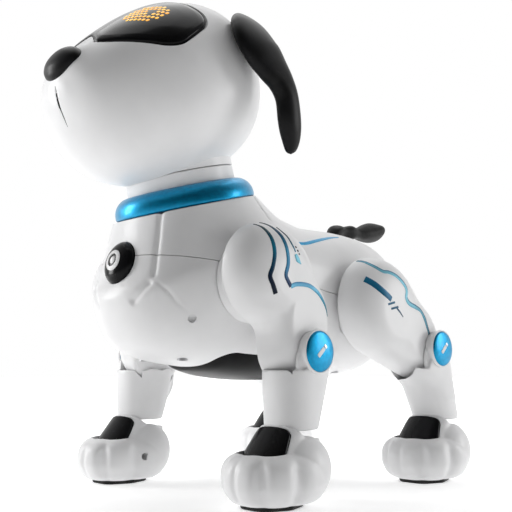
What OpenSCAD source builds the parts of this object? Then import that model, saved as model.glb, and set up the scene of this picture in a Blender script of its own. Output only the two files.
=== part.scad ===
// Robot dog toy, standing on its four paws. Millimetres, +Z up, the dog faces -Y and its left is +X.
// The origin is on the ground, under the middle of the overall length.

/* [Stance] */
// Distance from the origin back to the middle of the stance
stance_y = 23.5; // [20:0.5:26]
// Distance between the mid-planes of the left and right legs
track = 123; // [122:0.5:125]
// Height of the front hip axis
front_hip_z = 108; // [106:0.5:109]
// Height of the rear hip axis
rear_hip_z = 100; // [99:0.5:101]

/* [Legs] */
// Radius of the round upper end of each upper leg
pod_r = 28; // [26.5:0.5:28]
// Radius of the round lower end of each upper leg
knee_r = 17.5; // [17:0.5:18]
// Radius of the round ankle
ankle_r = 13.5; // [13:0.5:14]
// Radius of the blue knee discs
disc_r = 10.4; // [9.8:0.1:10.6]

/* [Head] */
// Lean of the head and neck, in degrees
head_tilt = 16; // [15:0.5:17]
// Height of the middle of the head
head_z = 210; // [209:0.5:212]

/* [Shells] */
// Wall thickness of the plastic shells
wall = 2; // [1.8:0.1:2.2]

/* [Hidden] */
LEGS = ["front_left", "front_right", "rear_left", "rear_right"];
LEG_PIECES = ["upper_leg_shell", "upper_leg_plate", "lower_leg", "knee_pin", "knee_disc",
  "paw", "paw_cap", "paw_pad"];

gap = 0.4;
sides = 28;
thigh_sides = 40;
leg_x = track / 2;
leg_in_x = leg_x - 11.2;
leg_out_x = leg_x + 9.8;
plate_t = 2.6;
boss_r = 11.2;
boss_out_x = leg_out_x + 4.6;
recess_r = pod_r + 0.7;
cup_r = knee_r + 0.6;
recess_floor_x = 44;
axle_r = 4;
pin_r = 2.5;
sole_z = 2;
plug_r = ankle_r - 0.5;
ankle_z = 36;
socket_z = 15;

// Joint centres in the side view, as [y, z] measured from the middle of the stance
front_hip = [-65.5, front_hip_z];
rear_hip = [24, rear_hip_z];
front_knee = [-48, 72.5];
rear_knee = [61.5, 76];
front_ankle = [-51.5, ankle_z];
rear_ankle = [76, ankle_z];
paw_ahead = 13;

// The fullest part of each thigh, a circle between the hip and the knee, as [y, z]
front_thigh = [-48.5, 92];
rear_thigh = [54, 85];
thigh_r = 19.5;
knee_swing = 20;

head_y = -93;
head_c = [0, head_y, head_z];
neck_v = -6;
neck_seam_w = -44;
collar_top_w = -52;
collar_base_w = -63.5;
neck_r = 29.6;
collar_r = 38.3;
neck_shaft_r = 4;
visor_t = 1.2;
// Ear pins in the head's own side view, as [backwards, up]
ear_pin = [27, 25];
ear_pin_r = 3;

// ---- Curves and skins ----

function signed_power(value, power) = sign(value) * pow(abs(value), power);

function catmull(p0, p1, p2, p3, t) =
  0.5 * (2 * p1 + (p2 - p0) * t + (2 * p0 - 5 * p1 + 4 * p2 - p3) * t * t
    + (3 * p1 - p0 - 3 * p2 + p3) * t * t * t);

function smooth(list, steps) =
  let (last = len(list) - 1)
  concat(
    [for (i = [0:last - 1]) for (j = [0:steps - 1])
      catmull(list[max(i - 1, 0)], list[i], list[i + 1], list[min(i + 2, last)], j / steps)],
    [list[last]]
  );

// One oval ring around centre. half_u and half_v are its half-axes.
// half_u x half_v points to the next ring.
function ring(centre, half_u, half_v, power, count = sides) =
  [for (i = [0:count - 1]) let (a = 360 * i / count)
    centre + half_u * signed_power(cos(a), 2 / power) + half_v * signed_power(sin(a), 2 / power)];

// A closed skin through rings that have the same number of points
module skin(rings) {
  count = len(rings[0]);
  last = len(rings) - 1;
  walls = [for (k = [0:last - 1]) for (i = [0:count - 1])
    let (a = k * count + i, b = k * count + (i + 1) % count)
    each [[a, b + count, b], [a, a + count, b + count]]];
  polyhedron(
    points = [for (r = rings) each r],
    faces = concat([[for (i = [0:count - 1]) i]], walls, [[for (i = [count - 1:-1:0]) last * count + i]]),
    convexity = 6
  );
}

module at_stance() {
  translate([0, stance_y, 0]) children();
}

module in_head() {
  at_stance() translate(head_c) rotate([head_tilt, 0, 0]) children();
}

module on_neck() {
  in_head() translate([0, -neck_v, 0]) children();
}

module along_x(x0, x1, r) {
  translate([x0, 0, 0]) rotate([0, 90, 0]) cylinder(r = r, h = x1 - x0, $fn = 64);
}

module at_point(yz) {
  translate([0, yz[0], yz[1]]) children();
}

// ---- Body ----

// Each station is [spine y, spine z, underside y, underside z, half-width]
BODY_STATIONS = [
  [-34, 161, -107, 140, 37.6],
  [-20, 152.5, -113.5, 112, 44],
  [-10, 150, -116.5, 96, 47.5],
  [1, 149, -104, 73.5, 49],
  [12, 149.3, -70, 65.5, 49.3],
  [34, 150, -8, 62.5, 48.5],
  [52, 149, 30, 60.5, 47],
  [68, 145, 60, 64.5, 43],
  [83, 134, 82, 84, 32],
  [91, 121, 91, 99, 15]
];

function body_ring(s, inset) =
  let (top = [0, s[0], s[1]], low = [0, s[2], s[3]], span = norm(top - low))
  ring((top + low) / 2, [s[4] - inset, 0, 0], (low - top) * (0.5 - inset / span), 2.3);

module body_form(inset) {
  stations = smooth(BODY_STATIONS, 2);
  last = len(stations) - 1;
  first_kept = inset > 0 ? 1 : 0;
  last_kept = inset > 0 ? last - 1 : last;
  skin([for (i = [first_kept:last_kept]) body_ring(stations[i], inset)]);
}

module each_hip() {
  for (hip = [front_hip, rear_hip], side = [-1, 1])
    at_point(hip) mirror([side < 0 ? 1 : 0, 0, 0]) children();
}

// The plane where the upper and lower shells meet, lower towards the tail
module above_seam() {
  translate([0, -91, 117.2]) rotate([-7.5, 0, 0]) translate([-100, -100, 0]) cube([200, 400, 120]);
}

module chest_axis() {
  translate([0, -112, 117]) rotate([90 - 13, 0, 0]) children();
}

module body_hollow() {
  difference() {
    body_form(wall);
    each_hip() along_x(recess_floor_x - wall, 60, recess_r + wall);
  }
}

module body_shell() {
  difference() {
    body_form(0);
    body_hollow();
    each_hip() {
      along_x(recess_floor_x, 60, recess_r);
      along_x(recess_floor_x - wall - 1, 60, axle_r + 0.06);
    }
    chest_axis() translate([0, 0, -8]) cylinder(r = 11.3, h = 20, $fn = 64);
    translate([0, 66, 120]) cylinder(r = 2.06, h = 40, $fn = 48);
  }
}

module body_upper_shell() {
  color("white") at_stance() {
    difference() {
      intersection() {
        body_shell();
        above_seam();
      }
      translate([0, -70.5, 150.2]) rotate([head_tilt, 0, 0]) translate([0, 0, -20])
        cylinder(r = 20, h = 40, $fn = 64);
    }
  }
}

module door_plan(grow) {
  translate([0, -27, 50])
    linear_extrude(40) hull() for (x = [-1, 1], y = [-1, 1])
      translate([x * 22, y * 32]) circle(r = 9 + grow, $fn = 32);
}

// Each case screw is [sideways, back, height of the head's underside]
module each_case_screw() {
  for (screw = [[16, 36, 62], [16, -84, 68.2]], side = [-1, 1])
    translate([side * screw[0], screw[1], screw[2]]) children();
}

module body_lower_shell() {
  color("white") at_stance() {
    difference() {
      union() {
        difference() {
          body_shell();
          above_seam();
        }
        each_case_screw() translate([0, 0, 1]) cylinder(r = 4.4, h = 11, $fn = 32);
      }
      each_case_screw() {
        translate([0, 0, -5]) cylinder(r = 2.75, h = 6.8, $fn = 32);
        cylinder(r = 1.36, h = 20, $fn = 32);
      }
      intersection() {
        door_plan(gap);
        translate([-60, -100, 40]) cube([120, 160, 33]);
      }
      translate([-5, 46, 55]) cube([10, 7.5, 14]);
      for (x = [-8, 0, 8], y = [60, 66])
        translate([x, y, 60]) cylinder(r = 1.2, h = 20, $fn = 24);
    }
  }
}

// Black cover under the belly, a shallow dish that bulges below the shell
function door_ring(y, low, half, inset) =
  ring([0, y, 74], [half - inset, 0, 0], [0, 0, low + inset - 74], 2.6);

module door_dish(inset) {
  dish = [[-68, 66, 20], [-62, 62.5, 27], [-48, 59.5, 30.5], [-27, 58, 31], [-6, 58.5, 30.5],
    [8, 60, 27], [14, 62, 20]];
  skin([for (s = smooth(dish, 2)) door_ring(s[0], s[1], s[2], inset)]);
}

module battery_door() {
  color([0.05, 0.05, 0.05]) at_stance() {
    intersection() {
      difference() {
        door_dish(0);
        door_dish(wall);
      }
      translate([-60, -100, 40]) cube([120, 160, 31]);
      door_plan(0);
    }
  }
}

module battery_pack() {
  color([0.2, 0.35, 0.6]) at_stance() {
    for (x = [-9.6, 9.6])
      translate([x, -58, 82]) rotate([-90, 0, 0]) cylinder(r = 9.2, h = 65, $fn = 48);
  }
}

module power_switch() {
  color([0.1, 0.1, 0.1]) at_stance() {
    translate([-2, 47, 61.5]) cube([4, 3, 4]);
    translate([-4, 46.5, 66.5]) cube([8, 4, 3]);
    translate([-1.5, 47, 65]) cube([3, 3, 2]);
  }
}

module speaker() {
  color([0.15, 0.15, 0.15]) at_stance() {
    translate([0, 63, 80]) {
      cylinder(r = 12, h = 4, $fn = 48);
      translate([0, 0, 3.9]) cylinder(r = 6.5, h = 6, $fn = 48);
    }
  }
}

module main_board() {
  color([0.05, 0.35, 0.15]) at_stance() {
    translate([-9, -60, 97]) cube([18, 100, 1.6]);
    for (y = [-45, -15, 20])
      translate([-6, y, 98.5]) cube([12, 12, 2.4]);
  }
}

// A small gear motor: gearbox with an output socket at the origin facing +X, and the motor can behind
module gear_motor() {
  difference() {
    union() {
      translate([-22, -10, -12]) cube([21, 20, 32]);
      translate([-12, 0, 19.9]) cylinder(r = 8, h = 6, $fn = 48);
    }
    along_x(-14, 1, axle_r + 0.06);
  }
}

module hip_motor(leg) {
  color([0.55, 0.57, 0.6])
    leg_side(leg) at_stance() at_point(hip_of(leg)) translate([recess_floor_x - wall, 0, 0]) gear_motor();
}

module neck_motor() {
  color([0.55, 0.57, 0.6]) on_neck() {
    difference() {
      translate([-12, -13, -98]) cube([24, 26, 24]);
      translate([0, 0, -88]) cylinder(r = neck_shaft_r + 0.06, h = 20, $fn = 48);
    }
  }
}

module collar() {
  color([0.05, 0.35, 0.65]) on_neck() rotate_extrude($fn = 96)
    polygon([
      [neck_r + 0.3, collar_base_w + 0.4], [collar_r, collar_base_w + 0.4], [collar_r, collar_base_w + 3.5],
      [collar_r - 1, collar_base_w + 6.5], [collar_r - 3.2, collar_base_w + 9.3],
      [neck_r + 2.6, collar_top_w - 0.3], [neck_r + 0.3, collar_top_w]
    ]);
}

module neck_sleeve() {
  color("white") on_neck() translate([0, 0, collar_base_w + 0.4]) difference() {
    cylinder(r = neck_r, h = neck_seam_w - collar_base_w - 0.8, $fn = 96);
    translate([0, 0, wall]) cylinder(r = neck_r - wall, h = 40, $fn = 96);
    translate([0, 0, -1]) cylinder(r = neck_shaft_r + 0.06, h = 20, $fn = 48);
  }
}

module case_screws() {
  color([0.7, 0.7, 0.72]) at_stance() each_case_screw() {
    cylinder(r = 2.6, h = 1.8, $fn = 32);
    translate([0, 0, 1.7]) cylinder(r = 1.3, h = 10, $fn = 32);
  }
}

module chest_button() {
  color([0.03, 0.03, 0.03]) at_stance() chest_axis() {
    translate([0, 0, -4]) cylinder(r = 11, h = 5, $fn = 64);
    translate([0, 0, 0.9]) rotate_extrude($fn = 64)
      polygon([[0, 0], [11, 0], [10.6, 1.2], [9, 2.4], [6.5, 3.4], [3.5, 4], [0, 4.2]]);
    translate([0, 0, -9]) cylinder(r = 2, h = 6, $fn = 32);
  }
}

// Rubber tail: a small front lobe, a twisted neck and a thick tip, on a post that turns in the back
module tail() {
  stations = [[52, 151.5, 1.5], [55, 153.5, 4], [60, 154.5, 4.8], [66, 155, 3.8], [73, 155.5, 4.8],
    [80, 156, 4],
              [88, 157, 5.6], [97, 158.5, 6.4], [105, 160, 5.6], [110, 161, 2]];
  color([0.06, 0.06, 0.06]) at_stance() {
    skin([for (s = smooth(stations, 2)) ring([0, s[0], s[1]], [s[2] * 1.1, 0, 0], [0, 0, -s[2]], 2, 14)]);
    translate([0, 66, 142]) cylinder(r = 2, h = 12, $fn = 48);
  }
}

// ---- Head ----

// Each station is [distance ahead of the middle, underside, top, half-width, power]
HEAD_STATIONS = [
  [60.5, -6, 10, 9, 2],
  [57, -18, 17, 19, 2.1],
  [50, -30, 22.5, 28.5, 2.2],
  [40, -39, 28, 38, 2.2],
  [27, -45, 34.5, 46.5, 2.2],
  [12, -47.5, 41, 52.5, 2.15],
  [-4, -47, 45.5, 54.5, 2.1],
  [-20, -45, 46, 53.5, 2.1],
  [-35, -40, 41.5, 46.5, 2.1],
  [-47, -31, 32, 35, 2.1],
  [-55, -18, 20, 22, 2],
  [-58, -6, 7, 7, 2]
];

function head_ring(s, inset) =
  ring([0, -s[0], (s[1] + s[2]) / 2], [s[3] - inset, 0, 0], [0, 0, inset - (s[2] - s[1]) / 2], s[4], 32);

module head_form(inset) {
  stations = smooth(HEAD_STATIONS, 2);
  last = len(stations) - 1;
  skip = inset > 0 ? 1 : 0;
  skin([for (i = [skip:last - skip]) head_ring(stations[i], inset)]);
}

// Side-view outline of the visor, swept across the head
module visor_cutter(grow) {
  translate([-70, 0, 0]) rotate([90, 0, 90]) linear_extrude(140) hull() {
    translate([-41.5, 27.5]) circle(r = 2 + grow, $fn = 24);
    translate([-20, 28]) circle(r = 14.8 + grow, $fn = 32);
    translate([-5, 34.5]) circle(r = 15 + grow, $fn = 32);
    translate([-3, 50]) circle(r = 15 + grow, $fn = 32);
  }
}

module behind_ears() {
  translate([-80, 42, -80]) cube([160, 60, 160]);
}

module head_shell() {
  difference() {
    head_form(0);
    difference() {
      head_form(wall);
      translate([0, -neck_v, -70]) cylinder(r = neck_r + 1 + wall, h = 70 + neck_seam_w + wall, $fn = 96);
    }
    translate([0, -neck_v, -70]) cylinder(r = neck_r + 1, h = 70 + neck_seam_w, $fn = 96);
    difference() {
      visor_cutter(gap / 2);
      head_form(visor_t);
    }
    visor_cutter(-3);
    for (side = [-1, 1])
      translate([side * 35, ear_pin[0], ear_pin[1]]) rotate([0, side * 90, 0])
        cylinder(r = ear_pin_r + 0.06, h = 40, $fn = 48);
    translate([0, -neck_v, -60]) cylinder(r = neck_shaft_r + 0.02, h = 30, $fn = 48);
  }
}

module head_front_shell() {
  color("white") in_head() difference() {
    head_shell();
    behind_ears();
  }
}

module head_rear_shell() {
  color("white") in_head() intersection() {
    head_shell();
    behind_ears();
  }
}

module visor() {
  color([0.03, 0.03, 0.03]) in_head() intersection() {
    visor_cutter(0);
    difference() {
      head_form(-0.6);
      head_form(visor_t);
    }
  }
}

module led_board() {
  color([0.9, 0.75, 0.1]) in_head() translate([0, -5, 33]) rotate([14, 0, 0]) {
    translate([-22, -15, -1.6]) cube([44, 26, 1.6]);
    for (x = [-16:4:16], y = [-9:4.5:9])
      translate([x - 1, y - 1, -0.1]) cube([2, 2, 1.2]);
  }
}

// Blunt nose on the upper front of the muzzle. Each ring is [height, half-width, half-length]
module nose() {
  rings = [[-5, 14, 10], [0.5, 14, 10], [3.5, 12.4, 8.8], [5.6, 9, 6.4], [6.8, 4, 2.8]];
  color([0.03, 0.03, 0.03]) in_head() difference() {
    translate([0, -54, 15.5]) rotate([49, 0, 0])
      skin([for (r = rings) ring([0, 0, r[0]], [r[1], 0, 0], [0, r[2], 0], 2.3, 24)]);
    head_form(0);
  }
}

module neck_shaft() {
  color([0.75, 0.75, 0.77]) on_neck() {
    translate([0, 0, -84]) cylinder(r = neck_shaft_r, h = 84 + neck_seam_w + 6, $fn = 48);
    translate([0, 0, neck_seam_w - 2.5]) cylinder(r = 14, h = 2.4, $fn = 48);
  }
}

// Hanging ear: a leaf that curves out and down from its root at the side of the head.
// Each station is [outwards, backwards, up, half-width, half-thickness]
EAR_STATIONS = [
  [46.6, -74, 244.4, 5, 3],
  [54, -74.1, 235.8, 11.5, 5.2],
  [60, -73, 225, 14.3, 5.6],
  [62.9, -67.4, 215.9, 12, 5.2],
  [64.4, -61.8, 208.7, 8.6, 4.9],
  [65, -57.9, 200.8, 7, 4.8],
  [64.7, -55.7, 189.5, 7, 4.6],
  [63.2, -53.1, 181.3, 5.6, 4],
  [62.2, -52.2, 175, 3.2, 2.4]
];

module ear(side) {
  stations = smooth(EAR_STATIONS, 2);
  last = len(stations) - 1;
  spine = [for (s = stations) [s[0], s[1], s[2]]];
  color([0.08, 0.08, 0.08]) at_stance() mirror([side < 0 ? 1 : 0, 0, 0]) {
    skin([for (i = [0:last])
      let (run = spine[min(i + 1, last)] - spine[max(i - 1, 0)],
           across = cross(run, [0, 1, 0]) / norm(cross(run, [0, 1, 0])),
           along = cross(across, run) / norm(run))
      ring(spine[i], along * stations[i][3], across * stations[i][4], 2.2, 18)]);
  }
  color([0.08, 0.08, 0.08]) in_head()
    translate([side * 37, ear_pin[0], ear_pin[1]]) rotate([0, side * 90, 0])
      cylinder(r = ear_pin_r, h = 13, $fn = 48);
}

module ear_left() {
  ear(1);
}

module ear_right() {
  ear(-1);
}

// ---- Legs ----

function is_front(leg) = leg[0] == "f";
function is_left(leg) = leg[len(leg) - 4] == "l";
function hip_of(leg) = is_front(leg) ? front_hip : rear_hip;
function knee_of(leg) = is_front(leg) ? front_knee : rear_knee;
function ankle_of(leg) = is_front(leg) ? front_ankle : rear_ankle;

module leg_side(leg) {
  mirror([is_left(leg) ? 0 : 1, 0, 0]) children();
}

function thigh_of(leg) = is_front(leg) ? front_thigh : rear_thigh;

// Convex outline around circles in the side view, each [y, z, radius]. The outline is moved inwards by inset
function reach(circle, way) = circle[0] * way[0] + circle[1] * way[1] + circle[2];

function wrapped(circles, inset) =
  [for (i = [0:thigh_sides - 1])
    let (
      way = [cos(360 * i / thigh_sides), sin(360 * i / thigh_sides)],
      furthest = max([for (c = circles) reach(c, way)]),
      c = [for (c = circles) if (reach(c, way) == furthest) c][0]
    )
    [c[0], c[1]] + (c[2] - inset) * way];

function upper_leg_outline(leg, inset) =
  wrapped([concat(hip_of(leg), pod_r), concat(thigh_of(leg), thigh_r), concat(knee_of(leg), knee_r)], inset);

function upper_leg_layer(leg, x, inset) =
  [for (p = upper_leg_outline(leg, inset)) [x, p[0], p[1]]];

// Upper leg as layers from the body outwards, each [distance from the outer face, inset of the outline]
module upper_leg_form(leg, inset) {
  layers = [[21, 0.6], [20, 0], [9, 0], [5.5, 1.2], [2.8, 3.6], [1, 7.2], [0, 12]];
  skin([for (layer = layers)
    let (x = leg_out_x - layer[0])
    upper_leg_layer(leg, min(x, leg_out_x - inset), layer[1] + inset)]);
}

module upper_leg_shell(leg) {
  color("white") leg_side(leg) at_stance() difference() {
    upper_leg_form(leg, 0);
    translate([0, -200, 0]) cube([leg_in_x + plate_t, 400, 200]);
    difference() {
      upper_leg_form(leg, wall);
      at_point(knee_of(leg)) along_x(0, 100, pin_r + 3);
    }
    at_point(knee_of(leg)) along_x(0, 100, pin_r + 0.06);
  }
}

module upper_leg_plate(leg) {
  color("white") leg_side(leg) at_stance() {
    difference() {
      union() {
        intersection() {
          upper_leg_form(leg, 0);
          translate([0, -200, 0]) cube([leg_in_x + plate_t, 400, 200]);
        }
        at_point(hip_of(leg)) along_x(recess_floor_x + gap, leg_in_x + 0.5, pod_r - 0.4);
        at_point(hip_of(leg)) along_x(recess_floor_x - 12, leg_in_x, axle_r);
      }
      at_point(knee_of(leg)) along_x(0, 100, pin_r + 0.06);
    }
  }
}

// The space that the upper leg needs as the knee bends
module knee_sweep(leg) {
  knee = knee_of(leg);
  for (turn = [-knee_swing:knee_swing / 2:knee_swing])
    at_point(knee) rotate([turn, 0, 0]) at_point(-knee)
      rotate([90, 0, 90]) linear_extrude(leg_out_x + gap) polygon(upper_leg_outline(leg, -gap));
}

module lower_leg_form(leg) {
  knee = knee_of(leg);
  ankle = ankle_of(leg);
  stations = [for (t = [0, 0.12, 0.3, 0.5, 0.7, 0.88, 1])
    let (centre = ankle + (knee - ankle) * t)
    [centre[0], ankle_z + (knee[1] - 5 - ankle_z) * t, ankle_r + (t < 0.3 ? 0 : (t - 0.3) * 1.5),
     ankle_r + 3.4 * sin(75 * t),
      2.2 + 0.7 * t]];
  skin([for (s = stations) ring([leg_x, s[0], s[1]], [s[2], 0, 0], [0, s[3], 0], s[4], 24)]);
}

module lower_leg(leg) {
  knee = knee_of(leg);
  ankle = ankle_of(leg);
  color("white") leg_side(leg) at_stance() difference() {
    union() {
      lower_leg_form(leg);
      intersection() {
        at_point(knee) along_x(leg_in_x - 2, leg_out_x + 4, cup_r + 2);
        translate([0, -200, ankle_z + 12]) cube([200, 400, knee[1] - 8 - ankle_z - 12]);
      }
      translate([leg_x, ankle[0], socket_z]) cylinder(r = plug_r, h = ankle_z - socket_z + 1, $fn = 64);
      at_point(knee) along_x(leg_out_x + 1, boss_out_x, boss_r);
    }
    at_point(knee) along_x(0, leg_out_x + gap, cup_r);
    knee_sweep(leg);
    at_point(knee) along_x(0, 100, pin_r);
    translate([leg_x, ankle[0], socket_z - 1]) cylinder(r = ankle_r - 3.5, h = 33, $fn = 48);
  }
}

module knee_pin(leg) {
  color([0.75, 0.75, 0.77]) leg_side(leg) at_stance() at_point(knee_of(leg))
    along_x(leg_in_x, boss_out_x, pin_r);
}

module knee_disc(leg) {
  color([0, 0.45, 0.75]) leg_side(leg) at_stance() at_point(knee_of(leg))
    translate([boss_out_x, 0, 0]) rotate([0, 90, 0]) rotate_extrude($fn = 64)
      polygon([[0, 0], [disc_r, 0], [disc_r, 0.8], [disc_r - 0.8, 1.5], [0, 2.2]]);
}

// Paw outline in plan: an oval with toes at the front, moved back towards the ankle
function paw_outline(leg, z, grow, toes, back) =
  let (centre = ankle_of(leg)[0] - paw_ahead + back, count = 36)
  [for (i = [0:count - 1])
    let (a = 360 * i / count,
         front = max(0, -sin(a)),
         lobe = toes * front * (abs(cos(3.2 * (a - 270))) - 0.45))
    [leg_x + (21 + grow + lobe) * cos(a), centre + (24.5 + grow + lobe) * sin(a), z]];

module paw_form(leg) {
  layers = [[sole_z, -6, 1, 0], [5, -1.5, 2.5, 0], [10, 1, 3.4, 0], [16, 1.2, 3.2, 0], [21, -0.5, 2.4, 1],
            [25, -3.2, 1.4, 3], [29, -5.8, 0.6, 6], [33, -8, 0, 9], [35.9, -9.8, 0, 11.2]];
  skin([for (layer = layers) paw_outline(leg, layer[0], layer[1], layer[2], layer[3])]);
}

module cap_cutter(leg, grow) {
  ankle = ankle_of(leg);
  translate([leg_x, ankle[0] - 16.2, 18.8]) rotate([32, 0, 0]) linear_extrude(40) hull() {
    for (x = [-1, 1])
      translate([x * 7.5, 8]) circle(r = 4 + grow, $fn = 24);
    for (x = [-1, 1])
      translate([x * 7.5, -5]) circle(r = 5 + grow, $fn = 24);
  }
}

module paw(leg) {
  ankle = ankle_of(leg);
  color("white") leg_side(leg) at_stance() difference() {
    paw_form(leg);
    translate([leg_x, ankle[0], socket_z]) cylinder(r = plug_r + 0.05, h = 40, $fn = 64);
    cap_cutter(leg, 0.2);
  }
}

module paw_cap(leg) {
  color([0.03, 0.03, 0.03]) leg_side(leg) at_stance() difference() {
    intersection() {
      cap_cutter(leg, 0);
      paw_form(leg);
    }
    translate([leg_x, ankle_of(leg)[0], 0]) cylinder(r = ankle_r + 0.1, h = 60, $fn = 64);
  }
}

module paw_pad(leg) {
  color([0.07, 0.07, 0.07]) leg_side(leg) at_stance()
    skin([
      paw_outline(leg, 0, -8, 0.5, 0),
      paw_outline(leg, sole_z, -7.2, 0.8, 0)
    ]);
}

module leg_piece(leg, piece) {
  if (piece == "upper_leg_shell") upper_leg_shell(leg);
  if (piece == "upper_leg_plate") upper_leg_plate(leg);
  if (piece == "lower_leg") lower_leg(leg);
  if (piece == "knee_pin") knee_pin(leg);
  if (piece == "knee_disc") knee_disc(leg);
  if (piece == "paw") paw(leg);
  if (piece == "paw_cap") paw_cap(leg);
  if (piece == "paw_pad") paw_pad(leg);
}

// ---- Assembly ----

body_upper_shell();
body_lower_shell();
collar();
neck_sleeve();
battery_door();
battery_pack();
power_switch();
speaker();
main_board();
neck_motor();
case_screws();
tail();
chest_button();
head_front_shell();
head_rear_shell();
visor();
led_board();
nose();
neck_shaft();
ear_left();
ear_right();
for (leg = LEGS) {
  hip_motor(leg);
  for (piece = LEG_PIECES)
    leg_piece(leg, piece);
}
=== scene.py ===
"""Looks of a robot dog toy that stands on its four paws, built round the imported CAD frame.

Shapes are written in stance millimetres: x towards the dog's left, y from its nose to its tail, z up,
measured from the middle of the stance. mesh_piece() turns them into metres in the frame.
"""

import math

import bmesh
import bpy
import numpy as np
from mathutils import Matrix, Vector
from mathutils.bvhtree import BVHTree

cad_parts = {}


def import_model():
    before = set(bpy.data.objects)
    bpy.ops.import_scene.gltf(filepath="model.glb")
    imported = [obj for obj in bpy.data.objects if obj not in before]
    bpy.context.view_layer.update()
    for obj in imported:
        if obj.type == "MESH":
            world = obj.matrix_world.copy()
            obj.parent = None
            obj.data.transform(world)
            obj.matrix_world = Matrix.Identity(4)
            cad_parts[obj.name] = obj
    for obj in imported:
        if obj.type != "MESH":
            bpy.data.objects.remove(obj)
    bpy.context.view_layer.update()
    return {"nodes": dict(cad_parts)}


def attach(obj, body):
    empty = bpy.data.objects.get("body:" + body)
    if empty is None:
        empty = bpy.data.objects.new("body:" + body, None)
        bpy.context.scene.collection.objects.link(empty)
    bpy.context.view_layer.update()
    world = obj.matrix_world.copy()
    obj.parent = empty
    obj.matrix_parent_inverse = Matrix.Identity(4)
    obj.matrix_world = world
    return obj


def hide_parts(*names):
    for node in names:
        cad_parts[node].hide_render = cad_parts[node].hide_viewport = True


MM = 0.001
STANCE_Y = 23.5

# Legs: joint centres in the side view as (y, z), and the main sizes
LEG_X = 61.5
LEG_IN_X = 50.3
LEG_OUT_X = 71.3
PLATE_OUT_X = 52.9
BOSS_OUT_X = 75.9
POD_FLOOR_X = 44.4
FRONT = {
    "hip": (-65.5, 108), "disc": (-64.9, 111.1), "disc_r": 25.5, "thigh": (-48.5, 92), "knee": (-48, 72.5),
    "ankle": (-51.5, 36), "boxy_back": 0.5,
    "seam": [(-18, -8.9), (-9, -8.9), (-7.5, -8), (7.5, -8), (9, -8.9), (18, -8.9)],
}
REAR = {
    "hip": (24, 100), "thigh": (54, 85), "knee": (61.5, 76), "ankle": (76, 36), "boxy_back": 0,
    "seam": [(-18, -11), (-14, -11.5), (-11, -11), (-8.5, -6), (6, -6), (9, -7.5), (18, -7.5)],
}
POD_R = 28
THIGH_R = 19.5
KNEE_R = 17.5
CUP_R = 18.1
BOSS_FACE_R = 9.9
DISC_R = 9.9
RECESS_R = 22.2
RECESS_FLOOR_X = 44
SOLE_Z = 2
PAW_AHEAD = 13

# Head: its middle, its lean in degrees, and the neck in the head's own coordinates
HEAD_MIDDLE = np.array([0.0, -93.0, 210.0])
HEAD_TILT = math.radians(16)
NECK_BACK = 6
NECK_R = 29.6
NECK_WALL = 2
COLLAR_R = 38.3
COLLAR_BASE = -63.1
COLLAR_TOP = -52
NECK_SEAM = -44.4


# ---- Points, curves and skins ----

def smooth_line(stations, steps):
    """Catmull-Rom through the stations. steps is one number, or one for each span."""
    s = np.asarray(stations, float)
    last = len(s) - 1
    counts = [steps] * last if np.isscalar(steps) else steps
    line = []
    for i in range(last):
        p0, p1, p2, p3 = s[max(i - 1, 0)], s[i], s[i + 1], s[min(i + 2, last)]
        for t in np.arange(counts[i]) / counts[i]:
            line.append(0.5 * (2 * p1 + (p2 - p0) * t + (2 * p0 - 5 * p1 + 4 * p2 - p3) * t * t
                               + (3 * p1 - p0 - 3 * p2 + p3) * t ** 3))
    line.append(s[last])
    return np.array(line)


def evenly(line, count):
    """The same line with count points at even distances."""
    steps = np.linalg.norm(np.diff(line, axis=0), axis=1)
    far = np.concatenate([[0], np.cumsum(steps)])
    want = np.linspace(0, far[-1], count)
    return np.stack([np.interp(want, far, line[:, k]) for k in range(line.shape[1])], axis=1)


def evenly_closed(loop, count):
    """The same closed loop with count points at even distances."""
    return evenly(np.vstack([loop, loop[:1]]), count + 1)[:-1]


def oval(centre, half_u, half_v, power=2.0, count=96):
    """A ring of points on a superellipse."""
    a = np.linspace(0, 2 * math.pi, count, endpoint=False)
    u = np.sign(np.cos(a)) * np.abs(np.cos(a)) ** (2 / power)
    v = np.sign(np.sin(a)) * np.abs(np.sin(a)) ** (2 / power)
    return np.asarray(centre, float) + np.outer(u, half_u) + np.outer(v, half_v)


def turned_x(points, turn):
    """Points turned about the x axis."""
    p = np.asarray(points, float)
    c, s = math.cos(turn), math.sin(turn)
    return np.stack([p[..., 0], p[..., 1] * c - p[..., 2] * s, p[..., 1] * s + p[..., 2] * c], axis=-1)


def in_head(points):
    """Head coordinates to stance coordinates."""
    return turned_x(points, HEAD_TILT) + HEAD_MIDDLE


def to_frame(points):
    return (np.asarray(points, float) + (0, STANCE_Y, 0)) * MM


def mesh_piece(name, points, faces):
    """A mesh from stance points, with its faces turned outwards."""
    mesh = bpy.data.meshes.new(name)
    mesh.from_pydata(to_frame(points).tolist(), [], [list(f) for f in faces])
    work = bmesh.new()
    work.from_mesh(mesh)
    bmesh.ops.recalc_face_normals(work, faces=work.faces)
    work.to_mesh(mesh)
    work.free()
    obj = bpy.data.objects.new(name, mesh)
    bpy.context.scene.collection.objects.link(obj)
    return obj


def skin_data(rings):
    """Points and faces of a closed skin through rings, with a pole at each end."""
    rings = np.asarray(rings, float)
    n, m = rings.shape[:2]
    points = np.vstack([rings.reshape(-1, 3), rings[0].mean(0)[None], rings[-1].mean(0)[None]])
    i = np.arange(m)
    j = (i + 1) % m
    faces = []
    for k in range(n - 1):
        faces += np.stack([k * m + i, k * m + j, (k + 1) * m + j, (k + 1) * m + i], axis=1).tolist()
    faces += np.stack([i, j, np.full(m, n * m)], axis=1).tolist()
    faces += np.stack([(n - 1) * m + i, (n - 1) * m + j, np.full(m, n * m + 1)], axis=1).tolist()
    return points, faces


def skin(name, rings):
    return mesh_piece(name, *skin_data(rings))


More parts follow.
